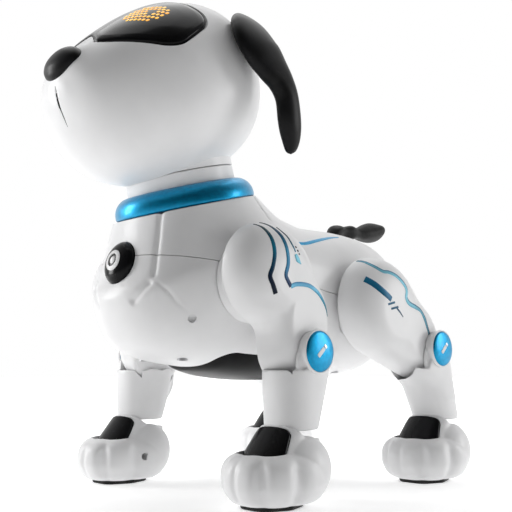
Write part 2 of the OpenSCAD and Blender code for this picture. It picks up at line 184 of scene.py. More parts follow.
def rod(name, start, end, radius, count=96):
    """A round rod between two points."""
    start, end = np.asarray(start, float), np.asarray(end, float)
    along = (end - start) / np.linalg.norm(end - start)
    side = np.cross(along, (0, 0, 1) if abs(along[2]) < 0.9 else (1, 0, 0))
    side /= np.linalg.norm(side)
    over = np.cross(along, side)
    return skin(name, [oval(p, side * radius, over * radius, count=count) for p in (start, end)])


def block(name, low, high, turn=0.0, about=(0, 0, 0)):
    """A box, turned about the x axis."""
    corners = [(x, y, z) for x in (low[0], high[0]) for y in (low[1], high[1]) for z in (low[2], high[2])]
    points = turned_x(np.array(corners) - about, turn) + about
    faces = [(0, 1, 3, 2), (4, 6, 7, 5), (0, 4, 5, 1), (2, 3, 7, 6), (0, 2, 6, 4), (1, 5, 7, 3)]
    return mesh_piece(name, points, faces)


def prism(name, outline, low_x, high_x):
    """A side-view outline of (y, z) points, swept along x."""
    rings = [[(x, y, z) for y, z in outline] for x in (low_x, high_x)]
    return skin(name, rings)


def bake(obj):
    """Puts the result of the modifiers into the mesh."""
    bpy.context.view_layer.update()
    graph = bpy.context.evaluated_depsgraph_get()
    mesh = bpy.data.meshes.new_from_object(obj.evaluated_get(graph))
    obj.modifiers.clear()
    obj.data = mesh
    return obj


def carve(obj, cutters, how="DIFFERENCE"):
    """Cuts, keeps or joins with each cutter in turn, and removes the cutters."""
    for cutter in cutters:
        step = obj.modifiers.new("carve", "BOOLEAN")
        step.operation = how
        step.solver = "MANIFOLD"
        step.object = cutter
    bake(obj)
    for cutter in cutters:
        bpy.data.objects.remove(cutter)
    return obj


def twin(obj, name):
    copy = bpy.data.objects.new(name, obj.data.copy())
    bpy.context.scene.collection.objects.link(copy)
    return copy


def merge(name, objs):
    """One mesh from several, without welding them."""
    work = bmesh.new()
    for o in objs:
        work.from_mesh(o.data)
        bpy.data.objects.remove(o)
    mesh = bpy.data.meshes.new(name)
    work.to_mesh(mesh)
    work.free()
    obj = bpy.data.objects.new(name, mesh)
    bpy.context.scene.collection.objects.link(obj)
    return obj


def melt(obj, voxel, rounds):
    """Fuses overlapping solids and rounds the places where they meet, like a moulding."""
    fuse = obj.modifiers.new("fuse", "REMESH")
    fuse.mode = "VOXEL"
    fuse.voxel_size = voxel * MM
    soften = obj.modifiers.new("soften", "SMOOTH")
    soften.factor = 0.5
    soften.iterations = rounds
    return bake(obj)


def coords(obj):
    co = np.empty(len(obj.data.vertices) * 3)
    obj.data.vertices.foreach_get("co", co)
    return co.reshape(-1, 3) / MM - (0, STANCE_Y, 0)


def set_coords(obj, points):
    obj.data.vertices.foreach_set("co", to_frame(points).ravel())
    obj.data.update()


def normals(obj):
    n = np.empty(len(obj.data.vertices) * 3)
    obj.data.vertex_normals.foreach_get("vector", n)
    return n.reshape(-1, 3)


def distance_to(points, line):
    """Distance from each point to a polyline, and how far along the line the nearest place is, 0 to 1."""
    line = np.asarray(line, float)
    best = np.full(len(points), 1e9)
    where = np.zeros(len(points))
    lengths = np.linalg.norm(np.diff(line, axis=0), axis=1)
    before = np.concatenate([[0], np.cumsum(lengths)]) / lengths.sum()
    for k in range(len(line) - 1):
        run = line[k + 1] - line[k]
        t = np.clip((points - line[k]) @ run / (run @ run), 0, 1)
        d = np.linalg.norm(points - (line[k] + t[:, None] * run), axis=1)
        nearer = d < best
        best[nearer] = d[nearer]
        where[nearer] = before[k] + t[nearer] * (before[k + 1] - before[k])
    return best, where


def press_groove(obj, line, width, depth, mirrored=True, fade=0.12):
    """Presses a rounded groove into the surface along a line, fading out at its ends."""
    p = coords(obj)
    probe = np.abs(p) * (1, 0, 0) + p * (0, 1, 1) if mirrored else p
    away, where = distance_to(probe, line)
    ends = np.clip(np.minimum(where, 1 - where) / fade, 0, 1)
    sink = depth * np.exp(-(away / width) ** 2) * ends
    touched = away < 3 * width
    p[touched] -= normals(obj)[touched] * sink[touched, None]
    set_coords(obj, p)


def surface_of(*objs):
    """A tree to find the nearest place on one or more pieces, in stance millimetres."""
    points, faces, base = [], [], 0
    for o in objs:
        p = coords(o)
        points.append(p)
        faces += [[v + base for v in f.vertices] for f in o.data.polygons]
        base += len(p)
    return BVHTree.FromPolygons(np.vstack(points).tolist(), faces)


def drape(surface, points, lift=0.0):
    """The nearest places on a surface, and the surface's direction there."""
    places, ways = [], []
    for p in points:
        place, way, _, _ = surface.find_nearest(Vector(p))
        places.append(place + way * lift)
        ways.append(way)
    return np.array(places), np.array(ways)


def inlay(name, surface, line, widths, lift=0.22, count=90, across=7):
    """A thin raised band laid on a surface along a line."""
    line = evenly(smooth_line(line, 8), count)
    wide = np.interp(np.linspace(0, 1, count), np.linspace(0, 1, len(widths)), widths)
    middle, way = drape(surface, line)
    for _ in range(3):
        way[1:-1] = (way[:-2] + way[1:-1] + way[2:]) / 3
    way /= np.linalg.norm(way, axis=1)[:, None]
    run = np.gradient(middle, axis=0)
    side = np.cross(run, way)
    side /= np.linalg.norm(side, axis=1)[:, None]
    rings = []
    share = np.linspace(-1, 1, across)
    for k in range(count):
        top, _ = drape(surface, middle[k] + np.outer(share, side[k]) * wide[k] / 2)
        rise = lift * np.sqrt(np.clip(1.12 - share ** 4, 0, 1))
        top = top + way[k] * rise[:, None]
        under = top[::-1] - way[k] * (lift + 0.35)
        rings.append(np.vstack([top, under]))
    return skin(name, rings)


def finish_shape(obj, angle=32):
    """Smooth shading with crisp edges where the surface turns sharply."""
    obj.data.shade_smooth()
    obj.data.set_sharp_from_angle(angle=math.radians(angle))
    return obj


# ---- Materials ----

# Every finish but the foils: its two close tones and its look
FINISHES = {
    "white_plastic": {"low": (0.82, 0.82, 0.825), "high": (0.86, 0.86, 0.865), "roughness": 0.44, "coat": 0.15,
                      "mottle": 40, "grain": 700, "bump": 0.012},
    "black_gloss": {"low": (0.003, 0.003, 0.003), "high": (0.006, 0.006, 0.007), "roughness": 0.16,
                    "mottle": 50, "grain": 600, "bump": 0.004, "specular": 0.13},
    "black_satin": {"low": (0.004, 0.004, 0.004), "high": (0.010, 0.010, 0.011), "roughness": 0.36,
                    "mottle": 70, "specular": 0.14},
    "black_rubber": {"low": (0.008, 0.008, 0.008), "high": (0.022, 0.022, 0.022), "roughness": 0.5,
                     "mottle": 160, "grain": 1100, "bump": 0.15, "specular": 0.2},
    "metallic_blue": {"low": (0.0, 0.235, 0.45), "high": (0.0, 0.29, 0.53), "roughness": 0.36, "metallic": 0.85,
                      "coat": 0.2, "mottle": 500, "grain": 1500, "bump": 0.006},
    "steel": {"low": (0.42, 0.42, 0.44), "high": (0.6, 0.6, 0.62), "roughness": 0.3, "metallic": 1.0,
              "mottle": 200, "grain": 1400, "bump": 0.05},
    "motor_can": {"low": (0.35, 0.36, 0.38), "high": (0.5, 0.51, 0.53), "roughness": 0.42, "metallic": 0.9,
                  "mottle": 150, "grain": 1200, "bump": 0.06},
    "circuit_board": {"low": (0.01, 0.12, 0.04), "high": (0.02, 0.2, 0.07), "roughness": 0.4,
                      "mottle": 300, "bump": 0.08},
    "battery_wrap": {"low": (0.04, 0.1, 0.3), "high": (0.07, 0.16, 0.42), "roughness": 0.35,
                     "mottle": 120, "grain": 800, "bump": 0.05},
    "led_yellow": {"low": (1.0, 0.42, 0.02), "high": (1.0, 0.62, 0.06), "roughness": 0.35,
                   "mottle": 160, "glow": 0.75},
}
# The stripes' foils: the blue at each height, in metres. The blue is the foil's own; its lighter bands are
# painted highlights and its darker ends are painted shade.
FOILS_PAINTED_SHEEN = {
    "foil_dark_painted_sheen": [(0.099, (0.0, 0.004, 0.015)), (0.107, (0.0, 0.008, 0.03)), (0.115, (0.0, 0.05, 0.10)),
                  (0.122, (0.0, 0.16, 0.26)), (0.129, (0.0, 0.05, 0.08)), (0.135, (0.0, 0.02, 0.03))],
    "foil_mid_painted_sheen": [(0.100, (0.0, 0.01, 0.05)), (0.106, (0.0, 0.02, 0.08)), (0.112, (0.01, 0.14, 0.27)),
                 (0.121, (0.02, 0.20, 0.34)), (0.129, (0.0, 0.06, 0.13)), (0.135, (0.0, 0.02, 0.04))],
    "foil_light_painted_sheen": [(0.084, (0.06, 0.20, 0.30)), (0.096, (0.10, 0.32, 0.42)), (0.105, (0.20, 0.50, 0.62)),
                   (0.118, (0.16, 0.46, 0.58)), (0.128, (0.05, 0.22, 0.32))],
    "foil_turn_painted_sheen": [(0.089, (0.0, 0.10, 0.16)), (0.097, (0.02, 0.24, 0.36)), (0.1035, (0.12, 0.40, 0.58)),
                  (0.106, (0.02, 0.16, 0.30))],
    "foil_bar_painted_sheen": [(0.092, (0.0, 0.03, 0.07)), (0.102, (0.0, 0.09, 0.18)), (0.113, (0.01, 0.15, 0.28))],
}


def noise(tree, scale, detail):
    """Soft noise that sits still on the object."""
    where = tree.nodes.new("ShaderNodeTexCoord")
    cloud = tree.nodes.new("ShaderNodeTexNoise")
    cloud.inputs["Scale"].default_value = scale
    cloud.inputs["Detail"].default_value = detail
    tree.links.new(where.outputs["Object"], cloud.inputs["Vector"])
    return cloud.outputs["Fac"]


def share_along(tree, output, direction, low, high):
    """How far a place lies along a direction: 0 at low and 1 at high."""
    where = tree.nodes.new("ShaderNodeTexCoord")
    along = tree.nodes.new("ShaderNodeVectorMath")
    along.operation = "DOT_PRODUCT"
    along.inputs[1].default_value = direction
    tree.links.new(where.outputs[output], along.inputs[0])
    share = tree.nodes.new("ShaderNodeMapRange")
    share.inputs["From Min"].default_value = low
    share.inputs["From Max"].default_value = high
    tree.links.new(along.outputs["Value"], share.inputs["Value"])
    return share.outputs["Result"]


def colour_ramp(tree, value, stops):
    """Colours a value by its (place, colour) stops."""
    ramp = tree.nodes.new("ShaderNodeValToRGB")
    tones = ramp.color_ramp.elements
    for k in (0, -1):
        tones[k].position = stops[k][0]
        tones[k].color = (*stops[k][1], 1)
    for place, colour in stops[1:-1]:
        tones.new(place).color = (*colour, 1)
    tree.links.new(value, ramp.inputs["Fac"])
    return ramp.outputs["Color"]


def greys(stops):
    return [(place, (tone, tone, tone)) for place, tone in stops]


def material(name, low, high, roughness, metallic=0.0, coat=0.0, mottle=60, grain=900, bump=0.02,
             specular=0.5, glow=None):
    """A procedural finish: two close tones in soft patches, and a fine moulded grain."""
    mat = bpy.data.materials.new(name)
    mat.use_nodes = True
    tree = mat.node_tree
    shader = tree.nodes["Principled BSDF"]
    for socket, number in (("Metallic", metallic), ("Roughness", roughness), ("Coat Weight", coat),
                           ("Coat Roughness", 0.08), ("Specular IOR Level", specular)):
        shader.inputs[socket].default_value = number
    tone = colour_ramp(tree, noise(tree, mottle, 3), [(0.35, low), (0.65, high)])
    tree.links.new(tone, shader.inputs["Base Color"])
    relief = tree.nodes.new("ShaderNodeBump")
    relief.inputs["Strength"].default_value = bump
    relief.inputs["Distance"].default_value = 0.0005
    tree.links.new(noise(tree, grain, 2), relief.inputs["Height"])
    tree.links.new(relief.outputs["Normal"], shader.inputs["Normal"])
    if glow:
        shader.inputs["Emission Strength"].default_value = glow
        tree.links.new(tone, shader.inputs["Emission Color"])
    return mat


def foil(name, stops):
    """Lacquered blue foil with painted highlights and shade: its blue changes with height."""
    low, high = stops[0][0], stops[-1][0]
    mat = material(name, stops[0][1], stops[-1][1], 0.34, metallic=0.2, mottle=200, grain=1200, specular=0.25)
    tree = mat.node_tree
    # The ramp by height paints highlight bands and shade onto the foil's own blue.
    height = share_along(tree, "Object", (0, 0, 1), low, high)
    tone = colour_ramp(tree, height, [((at - low) / (high - low), colour) for at, colour in stops])
    tree.links.new(tone, tree.nodes["Principled BSDF"].inputs["Base Color"])
    return mat


def make_materials():
    finishes = {name: material(name, **look) for name, look in FINISHES.items()}
    finishes.update({name: foil(name, stops) for name, stops in FOILS_PAINTED_SHEEN.items()})
    return finishes


MATERIALS = {}


def fit(obj, body, finish, *nodes, angle=32):
    """Shades a finished piece, paints it, and fixes it to its body in place of its CAD nodes."""
    finish_shape(obj, angle)
    obj.data.materials.clear()
    obj.data.materials.append(MATERIALS[finish])
    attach(obj, body)
    "metallic_blue" if finish.startswith("foil") else finish
    if nodes:
        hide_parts(*nodes)
    return obj


# ---- Body ----

# Each station is spine y, spine z, underside y, underside z, half-width
BODY_STATIONS = [
    (-34, 161, -107, 140, 37.6), (-20, 152.5, -113.5, 112, 44), (-10, 150, -116.5, 96, 47.5),
    (1, 149, -104, 73.5, 49), (12, 149.3, -70, 65.5, 49.3), (34, 150, -8, 62.5, 48.5),
    (52, 149, 30, 60.5, 47), (68, 145, 60, 64.5, 43), (83, 134, 82, 84, 32), (91, 121, 91, 99, 15),
    (92.2, 116.5, 92.2, 103.5, 9), (92.8, 112, 92.8, 108, 2.5),
]
BODY_STEPS = [34, 34, 34, 26, 18, 14, 14, 16, 16, 8, 5]
SEAM_POINT = np.array([0.0, -91.0, 117.2])
SEAM_TURN = math.radians(-7.5)
BADGE_MIDDLE = np.array([0.0, -112.0, 117.0])
BADGE_OUT = np.array([0.0, -math.sin(math.radians(77)), math.cos(math.radians(77))])
CHEST_FOLD = [(19.8, -100, 148), (20.6, -103.4, 138), (22.1, -105.5, 127), (24.6, -110, 107)]
CHEST_FOLD_WIDE = [(24.6, -110, 107), (18.7, -113.2, 100.4), (13, -114.9, 95.4)]
CHEST_FOLD_FINE = [(24.6, -110, 107), (31.1, -106.5, 101.5), (33.6, -101.7, 95.4), (36.0, -95.5, 90.5)]
SHOULDER_LINE = [(31, -54, 160), (33.2, -50.8, 156.1), (36.9, -47.6, 148.9), (40.1, -43.3, 141.9)]
CHIN_SLOT = [(8, -109.1, 81.2), (15.8, -106.9, 81)]
CHEST_SCREW = (35.7, -94.6, 88.4)
BELLY_SCREWS = [(16, 36, 62), (16, -84, 68.2)]
FLANK_STRIPE = [(43.3, -27.5, 131.6), (42.1, -18.4, 132.9), (38.4, -3.8, 136.9), (33.1, 13.2, 140.9),
                (30.4, 24, 142.8)]
DOOR_CORNERS = [(22, 5), (-22, 5), (-22, -59), (22, -59)]
DOOR_CORNER_R = 9
# The battery door's dish: how far back, how low, half-width
DOOR_DISH = [(-68, 66, 20), (-62, 62.5, 27), (-48, 59.5, 30.5), (-27, 58, 31), (-6, 58.5, 30.5), (8, 60, 27),
             (14, 62, 20)]


def body_block():
    rings = []
    for top_y, top_z, low_y, low_z, half in smooth_line(BODY_STATIONS, BODY_STEPS):
        top, low = np.array([0, top_y, top_z]), np.array([0, low_y, low_z])
        rings.append(oval((top + low) / 2, (half, 0, 0), (low - top) / 2, 2.3, 340))
    body = skin("body_block", rings)
    for line, width, depth, fade in ((CHEST_FOLD, 1.5, 1.0, 0.05), (CHEST_FOLD_WIDE, 2.1, 1.3, 0.15),
                                     (CHEST_FOLD_FINE, 0.8, 0.55, 0.08), (SHOULDER_LINE, 0.6, 0.7, 0.1)):
        press_groove(body, smooth_line(line, 6), width, depth, fade=fade)
    press_groove(body, CHIN_SLOT, 0.55, 0.9, fade=0.1)
    return body


def hip_rods(radius, from_x, to_x):
    return [rod("hip", (side * from_x, *leg["hip"]), (side * to_x, *leg["hip"]), radius, 160)
            for leg in (FRONT, REAR) for side in (-1, 1)]


def door_rings(grow, low, high):
    """The battery door's opening, a rounded rectangle seen from below, at two heights."""
    corners = []
    for turn, (x, y) in enumerate(DOOR_CORNERS):
        for a in np.radians(np.linspace(0, 90, 12) + 90 * turn):
            corners.append((x + (DOOR_CORNER_R + grow) * math.cos(a), y + (DOOR_CORNER_R + grow) * math.sin(a)))
    return [[(x, y, z) for x, y in corners] for z in (low, high)]


def make_body():
    whole = body_block()
    surface = surface_of(whole)
    carve(whole, hip_rods(RECESS_R, RECESS_FLOOR_X, 75))
    badge = rod("badge", BADGE_MIDDLE - 8 * BADGE_OUT, BADGE_MIDDLE + 12 * BADGE_OUT, 11.35, 128)
    (place,), (way,) = drape(surface, [CHEST_SCREW])
    screws = []
    for side in (-1, 1):
        flip = np.array([side, 1, 1])
        screws.append(rod("screw", (place - 2.6 * way) * flip, (place + 4 * way) * flip, 2.15, 48))
        for x, y, z in BELLY_SCREWS:
            screws.append(rod("screw", (side * x, y, z - 8), (side * x, y, z + 1.7), 2.75, 48))
    carve(whole, [badge, *screws])
    lower = twin(whole, "body_lower_moulding")
    carve(whole, [above_parting(117.4)], "INTERSECT")
    whole.name = "body_upper_moulding"
    cuts = [above_parting(117.0)]
    cuts.append(skin("door", door_rings(0.35, 40, 73)))
    cuts.append(block("slot", (-5, 46, 50), (5, 53.5, 69)))
    cuts += [rod("sound", (x, y, 50), (x, y, 70), 1.2, 32) for x in (-8, 0, 8) for y in (60, 66)]
    carve(lower, cuts)
    fit(whole, "body", "white_plastic", "body_upper_shell")
    fit(lower, "body", "white_plastic", "body_lower_shell")
    for side, word in ((1, "left"), (-1, "right")):
        line = np.array(FLANK_STRIPE) * (side, 1, 1)
        flank = inlay(f"flank_stripe_{word}", surface, line, [1.6, 2.2, 2.2, 2.0, 1.2])
        fit(flank, "body", "metallic_blue")


def above_parting(level):
    """A block over the sloping line where the body shells meet."""
    return block("above", (-100, -191, level), (100, 209, 260), SEAM_TURN, SEAM_POINT)


def make_battery_door():
    rings = [oval((0, y, 74), (half, 0, 0), (0, 0, low - 74), 2.6, 160)
             for y, low, half in smooth_line(DOOR_DISH, 12)]
    door = skin("battery_cover", rings)
    carve(door, [skin("plan", door_rings(0, 40, 72.5))], "INTERSECT")
    fit(door, "body", "black_satin", "battery_door")


def revolve(place, profile, count=160):
    """Rings from (radius, height) points. place() turns local points into stance ones."""
    return [place(oval((0, 0, h), (r, 0, 0), (0, r, 0), count=count)) for r, h in profile]


def on_neck(points):
    return in_head(np.asarray(points, float) + (0, NECK_BACK, 0))


def make_neck():
    inner = NECK_R + 0.3
    outside = [(COLLAR_R - 0.6, COLLAR_BASE), (COLLAR_R, COLLAR_BASE + 0.8), (COLLAR_R, COLLAR_BASE + 3.0),
               (COLLAR_R - 0.6, COLLAR_BASE + 5.6), (COLLAR_R - 2.3, COLLAR_BASE + 8.4),
               (inner + 3.6, COLLAR_TOP - 0.7), (inner + 1.4, COLLAR_TOP + 0.1), (inner + 0.2, COLLAR_TOP)]
    start = (inner, COLLAR_BASE + 0.4)
    profile = [start, *smooth_line(outside, 6), (inner, COLLAR_TOP - 0.6), start]
    fit(open_tube("collar_ring", revolve(on_neck, profile)), "body", "metallic_blue", "collar")
    inside = NECK_R - NECK_WALL
    profile = [(inside, COLLAR_BASE), (NECK_R, COLLAR_BASE), (NECK_R, NECK_SEAM - 0.7),
               (NECK_R - 0.4, NECK_SEAM - 0.2), (NECK_R - 1, NECK_SEAM), (inside, NECK_SEAM),
               (inside, COLLAR_BASE)]
    fit(open_tube("neck_tube", revolve(on_neck, profile)), "body", "white_plastic", "neck_sleeve")


def open_tube(name, rings):
    """A skin whose first and last rings are the same, so it closes on itself."""
    rings = np.asarray(rings[:-1], float)
    n, m = rings.shape[:2]
    i = np.arange(m)
    j = (i + 1) % m
    faces = []
    for k in range(n):
        a, b = k * m, (k + 1) % n * m
        faces += np.stack([a + i, a + j, b + j, b + i], axis=1).tolist()
    return mesh_piece(name, rings.reshape(-1, 3), faces)


def badge_place(points):
    side = np.array([1.0, 0, 0])
    over = np.cross(BADGE_OUT, side)
    p = np.asarray(points, float)
    return BADGE_MIDDLE + np.outer(p[:, 0], side) + np.outer(p[:, 1], over) + np.outer(p[:, 2], BADGE_OUT)


def make_chest_button():
    stem = [(2, -9), (2, -4), (10.6, -4)]
    dome = [(11, -3.6), (11, 0.7), (10.7, 1.6), (9.9, 2.5), (8.3, 3.5), (6, 4.3), (3, 4.9), (0.3, 5.1)]
    button = skin("badge_dome", revolve(badge_place, [*stem, *smooth_line(dome, 5)]))
    fit(button, "chest_button", "black_gloss", "chest_button")
    ring = [(3.4, 4.7), (3.4, 5.25), (4.0, 5.2), (4.9, 4.95), (5.4, 4.75), (5.4, 4.2), (3.4, 4.7)]
    fit(open_tube("badge_ring", revolve(badge_place, ring, 96)), "chest_button", "white_plastic")
    dot = [(1.9, 4.6), (1.9, 5.15), (1.5, 5.35), (0.8, 5.45), (0.05, 5.5)]
    fit(skin("badge_dot", revolve(badge_place, dot, 64)), "chest_button", "white_plastic")


# Each station is how far back, how high, radius
TAIL_STATIONS = [(52, 151.5, 1.5), (55, 153.5, 4), (60, 154.5, 4.8), (66, 155, 3.8), (73, 155.5, 4.8),
                 (80, 156, 4), (88, 157, 5.6), (97, 158.5, 6.4), (105, 160, 5.6), (110, 161, 2)]


def make_tail():
    around = 64
    rings = []
    for k, (y, z, r) in enumerate(smooth_line(TAIL_STATIONS, 10)):
        twist = 0.08 * math.sin(k * 0.16)
        ring = oval((0, y, z), (r * 1.1, 0, 0), (0, 0, -r), 2, around)
        a = np.linspace(0, 2 * math.pi, around, endpoint=False)
        dent = 1 + 0.07 * np.sin(3 * a + k * 0.11) + twist * np.cos(2 * a)
        rings.append((ring - (0, y, z)) * dent[:, None] + (0, y, z))
    fit(skin("tail_skin", rings), "tail", "black_rubber", "tail")
    fit(rod("tail_post", (0, 66, 142), (0, 66, 153), 2, 48), "tail", "black_rubber")


# ---- Head ----

# Each station is distance ahead, underside, top, half-width, power
HEAD_STATIONS = [
    (60.6, 1.9, 2.2, 0.2, 2), (60.5, -1, 5, 3.6, 2), (59.7, -6, 10, 10.2, 2), (56.5, -18, 17, 20.6, 2.1),
    (50, -30, 21.2, 30, 2.2), (40, -39, 27.4, 39.2, 2.2), (27, -45, 34.5, 47.1, 2.2),
    (12, -47.5, 41.4, 52.7, 2.15), (-4, -47, 46.1, 54.5, 2.1), (-20, -45, 46.8, 53, 2.1),
    (-35, -40, 42.2, 45.2, 2.1), (-47, -31, 32.6, 33.6, 2.1), (-55, -18, 20, 22, 2), (-58, -6, 7, 7, 2),
    (-58.3, -0.5, 0.5, 0.6, 2),
]
HEAD_LINE = smooth_line(HEAD_STATIONS, 12)
VISOR_HALF = 48.9
# The visor's height over the head, by the distance from its edge
VISOR_CROWN = [(0, -1.5), (0.4, -1.2), (1.0, -1.2), (1.1, -1.0), (1.3, -0.3), (1.8, 0.15), (2.8, 0.5), (5, 0.8),
               (12, 1.0)]
VISOR_HULL = [((-38, 26), 5.5), ((-20, 28), 14.8), ((-7.5, 34.5), 15), ((-5.5, 50), 15)]
NOSE_MIDDLE = np.array([0.0, -52.6, 16.2])
NOSE_TURN = math.radians(49)
# Each station is height, half-width, half-length
NOSE_STATIONS = [(-4.5, 14, 10), (-1, 14.1, 10.1), (0.8, 14, 10), (2.2, 13.5, 9.6), (3.7, 12.3, 8.7),
                 (5.1, 10, 7.1), (6.2, 7, 5), (6.8, 3.8, 2.7), (7.0, 0.4, 0.3)]
EAR_PIN = (27, 25)
EYE_ROWS = 6
EYE_COLUMNS = 10
EYE_MIDDLE = (26, -16.5)
EYE_GAP_R = 2.6
MOUTH = [(0.3, -60.1, 6.4), (0.25, -60.6, 2.5), (0.1, -60.6, -3), (0, -60, -8.8), (0, -58.3, -14)]


def head_rings(inset, count=260):
    return [oval((0, -s[0], (s[1] + s[2]) / 2), (max(s[3] - inset, 0.05), 0, 0),
                 (0, 0, -max((s[2] - s[1]) / 2 - inset, 0.05)), s[4], count) for s in HEAD_LINE]


def head_top(x, y):
    """Height of the head's upper surface over a point, in head coordinates."""
    ahead = HEAD_LINE[::-1, 0]
    low, top, half, power = (np.interp(-y, ahead, HEAD_LINE[::-1, k]) for k in (1, 2, 3, 4))
    share = np.clip(np.abs(x) / half, 0, 1)
    return (low + top) / 2 + (top - low) / 2 * (1 - share ** power) ** (1 / power)


def hull_outline(circles, grow, count=200):
    """Convex outline round circles, by direction."""
    ways = np.linspace(0, 2 * math.pi, count, endpoint=False)
    way = np.stack([np.cos(ways), np.sin(ways)], axis=1)
    reach = np.stack([way @ np.array(c) + r for c, r in circles])
    best = np.argmax(reach, axis=0)
    centre = np.array([c for c, _ in circles])[best]
    radius = np.array([r for _, r in circles])[best]
    return centre + way * (radius + grow)[:, None]


def bridge_line(x):
    """Where the visor's front edge runs over the bridge of the nose."""
    return -34.5 - 8.5 * np.clip(np.abs(x) / 14, 0, 1) ** 1.4


def inside_by(circles, y, z):
    """How far a side-view point is inside the hull of the circles. It is negative outside."""
    ways = np.linspace(0, 2 * math.pi, 240, endpoint=False)
    way = np.stack([np.cos(ways), np.sin(ways)], axis=1)
    reach = np.stack([way @ np.array(c) + r for c, r in circles]).max(axis=0)
    at = np.outer(y, way[:, 0]) + np.outer(z, way[:, 1])
    return (reach - at).min(axis=1)


def head_skin(name, inset):
    return skin(name, [in_head(r) for r in head_rings(inset)])


def visor_prism(grow):
    outline = hull_outline(VISOR_HULL, grow)
    rings = [in_head([(x, y, z) for y, z in outline]) for x in (-70, 70)]
    return skin("visor_prism", rings)


def nose_bridge():
    """The part of the head that stays white in front of the visor."""
    across = np.linspace(-40, 40, 161)
    plan = [(x, y + 0.2) for x, y in zip(across, bridge_line(across))] + [(40, -80), (-40, -80)]
    return skin("bridge", [in_head([(x, y, z) for x, y in plan]) for z in (0, 60)])


def ear_rod(name, side, from_x, to_x, radius):
    """A rod on the axis of an ear's pin."""
    return rod(name, in_head((side * from_x, *EAR_PIN)), in_head((side * to_x, *EAR_PIN)), radius, 48)


def make_head():
    head = head_skin("head_block", 0)
    press_groove(head, in_head(smooth_line(MOUTH, 6)), 0.55, 0.7, mirrored=False, fade=0.2)
    surface = surface_of(head)
    pocket = visor_prism(0.2)
    carve(pocket, [head_skin("floor", 1.8), nose_bridge()])
    stub = rod("stub", on_neck((0, 0, NECK_SEAM - 3)), on_neck((0, 0, -25)), NECK_R, 160)
    carve(head, [stub], "UNION")
    neck = rod("neck", on_neck((0, 0, -75)), on_neck((0, 0, NECK_SEAM + 0.3)), NECK_R + 0.35, 160)
    carve(head, [pocket, neck, *[ear_rod("pin", side, 35, 75, 3.06) for side in (-1, 1)]])
    back = twin(head, "head_back_moulding")
    behind, ahead = [rod("split", in_head((0, y0, 0)), in_head((0, y1, 0)), 140, 4)
                     for y0, y1 in ((42.15, 120), (-120, 41.85))]
    carve(head, [behind])
    head.name = "head_front_moulding"
    carve(back, [ahead])
    fit(head, "head", "white_plastic", "head_front_shell")
    fit(back, "head", "white_plastic", "head_rear_shell")
    mouth = inlay("mouth_line", surface, in_head(MOUTH), [0.2, 0.7, 0.8, 0.7, 0.2], lift=0.05)
    fit(mouth, "head", "black_satin")
    return surface


def make_visor(surface):
    """The curved window: a sunk black bezel, then a crowned glossy face."""
    columns = VISOR_HALF * np.sin(np.radians(np.linspace(-88, 88, 171)))
    y_all = np.linspace(-50, 20, 700)
    grid = []
    rows = 0.5 - 0.5 * np.cos(np.linspace(0, math.pi, 91))
    for x in columns:
        z_all = head_top(np.full_like(y_all, x), y_all)
        room = np.minimum(inside_by(VISOR_HULL, y_all, z_all), (y_all - bridge_line(x)) * 0.9)
        kept = np.where(room > 0)[0]
        if len(kept) < 2:
            continue
        first, last = kept[0], kept[-1]
        y0 = np.interp(0, [room[first - 1], room[first]], [y_all[first - 1], y_all[first]])
        y1 = np.interp(0, [-room[last], -room[last + 1]], [y_all[last], y_all[last + 1]])
        y = y0 + (y1 - y0) * rows
        grid.append(np.stack([np.full_like(y, x), y, head_top(np.full_like(y, x), y)], axis=1))
    grid = np.array(grid)
    n, m = grid.shape[:2]
    edge = np.vstack([grid[:, 0], grid[::-1, -1], grid[:1, 0]])
    flat = grid.reshape(-1, 3)
    away, _ = distance_to(flat, edge)
    glass = np.interp(away, *zip(*VISOR_CROWN))
    stance = in_head(flat)
    _, way = drape(surface, stance)
    top = stance + way * glass[:, None]
    under = stance - way * 1.7
    points = np.vstack([top, under])
    faces = []
    for i in range(n - 1):
        for j in range(m - 1):
            a = i * m + j
            faces.append((a, a + 1, a + m + 1, a + m))
            faces.append((n * m + a, n * m + a + m, n * m + a + m + 1, n * m + a + 1))
    rim = [i * m for i in range(n)] + [(n - 1) * m + j for j in range(1, m)]
    rim += [i * m + m - 1 for i in range(n - 2, -1, -1)] + [j for j in range(m - 2, 0, -1)]
    for a, b in zip(rim, rim[1:] + rim[:1]):
        faces.append((a, b, n * m + b, n * m + a))
    visor = mesh_piece("visor_window", points, faces)
    fit(visor, "head", "black_gloss", "visor", angle=60)
    return surface_of(visor)


def make_face_lights(glass):
    """Rows of small lights that make two dotted oval eyes."""
    dots = []
    middle_x, middle_y = EYE_MIDDLE
    for side in (-1, 1):
        for row in range(EYE_ROWS):
            for column in range(EYE_COLUMNS):
                step = row - (EYE_ROWS - 1) / 2
                across = (column - (EYE_COLUMNS - 1) / 2) * 2.25 + 0.8 * step
                along = step * 3.1
                x = middle_x + across * 0.92 - along * 0.10
                y = middle_y + along * 0.93 + across * 0.35
                oval_share = (across / 11.5) ** 2 + (along / 9.2) ** 2
                gap = math.hypot(across - 3.5, along - 0.6)
                if oval_share > 1.02 or gap < EYE_GAP_R:
                    continue
                z = float(head_top(np.array([x]), np.array([y]))[0])
                dots.append(lamp_dot(glass, in_head((side * x, y, z + 0.6)), 0.85))
    fit(merge("face_lights", dots), "head", "led_yellow")


def lamp_dot(surface, place, size):
    (middle,), (way,) = drape(surface, [place])
    side = np.cross(way, (0, 1, 0.3))
    side /= np.linalg.norm(side)
    over = np.cross(way, side)
    rings = [oval(middle + way * h, side * size * s, over * size * 1.25 * s, 2.6, 16)
             for h, s in ((-0.3, 1), (0.06, 1), (0.12, 0.85), (0.14, 0.4))]
    return skin("dot", rings)


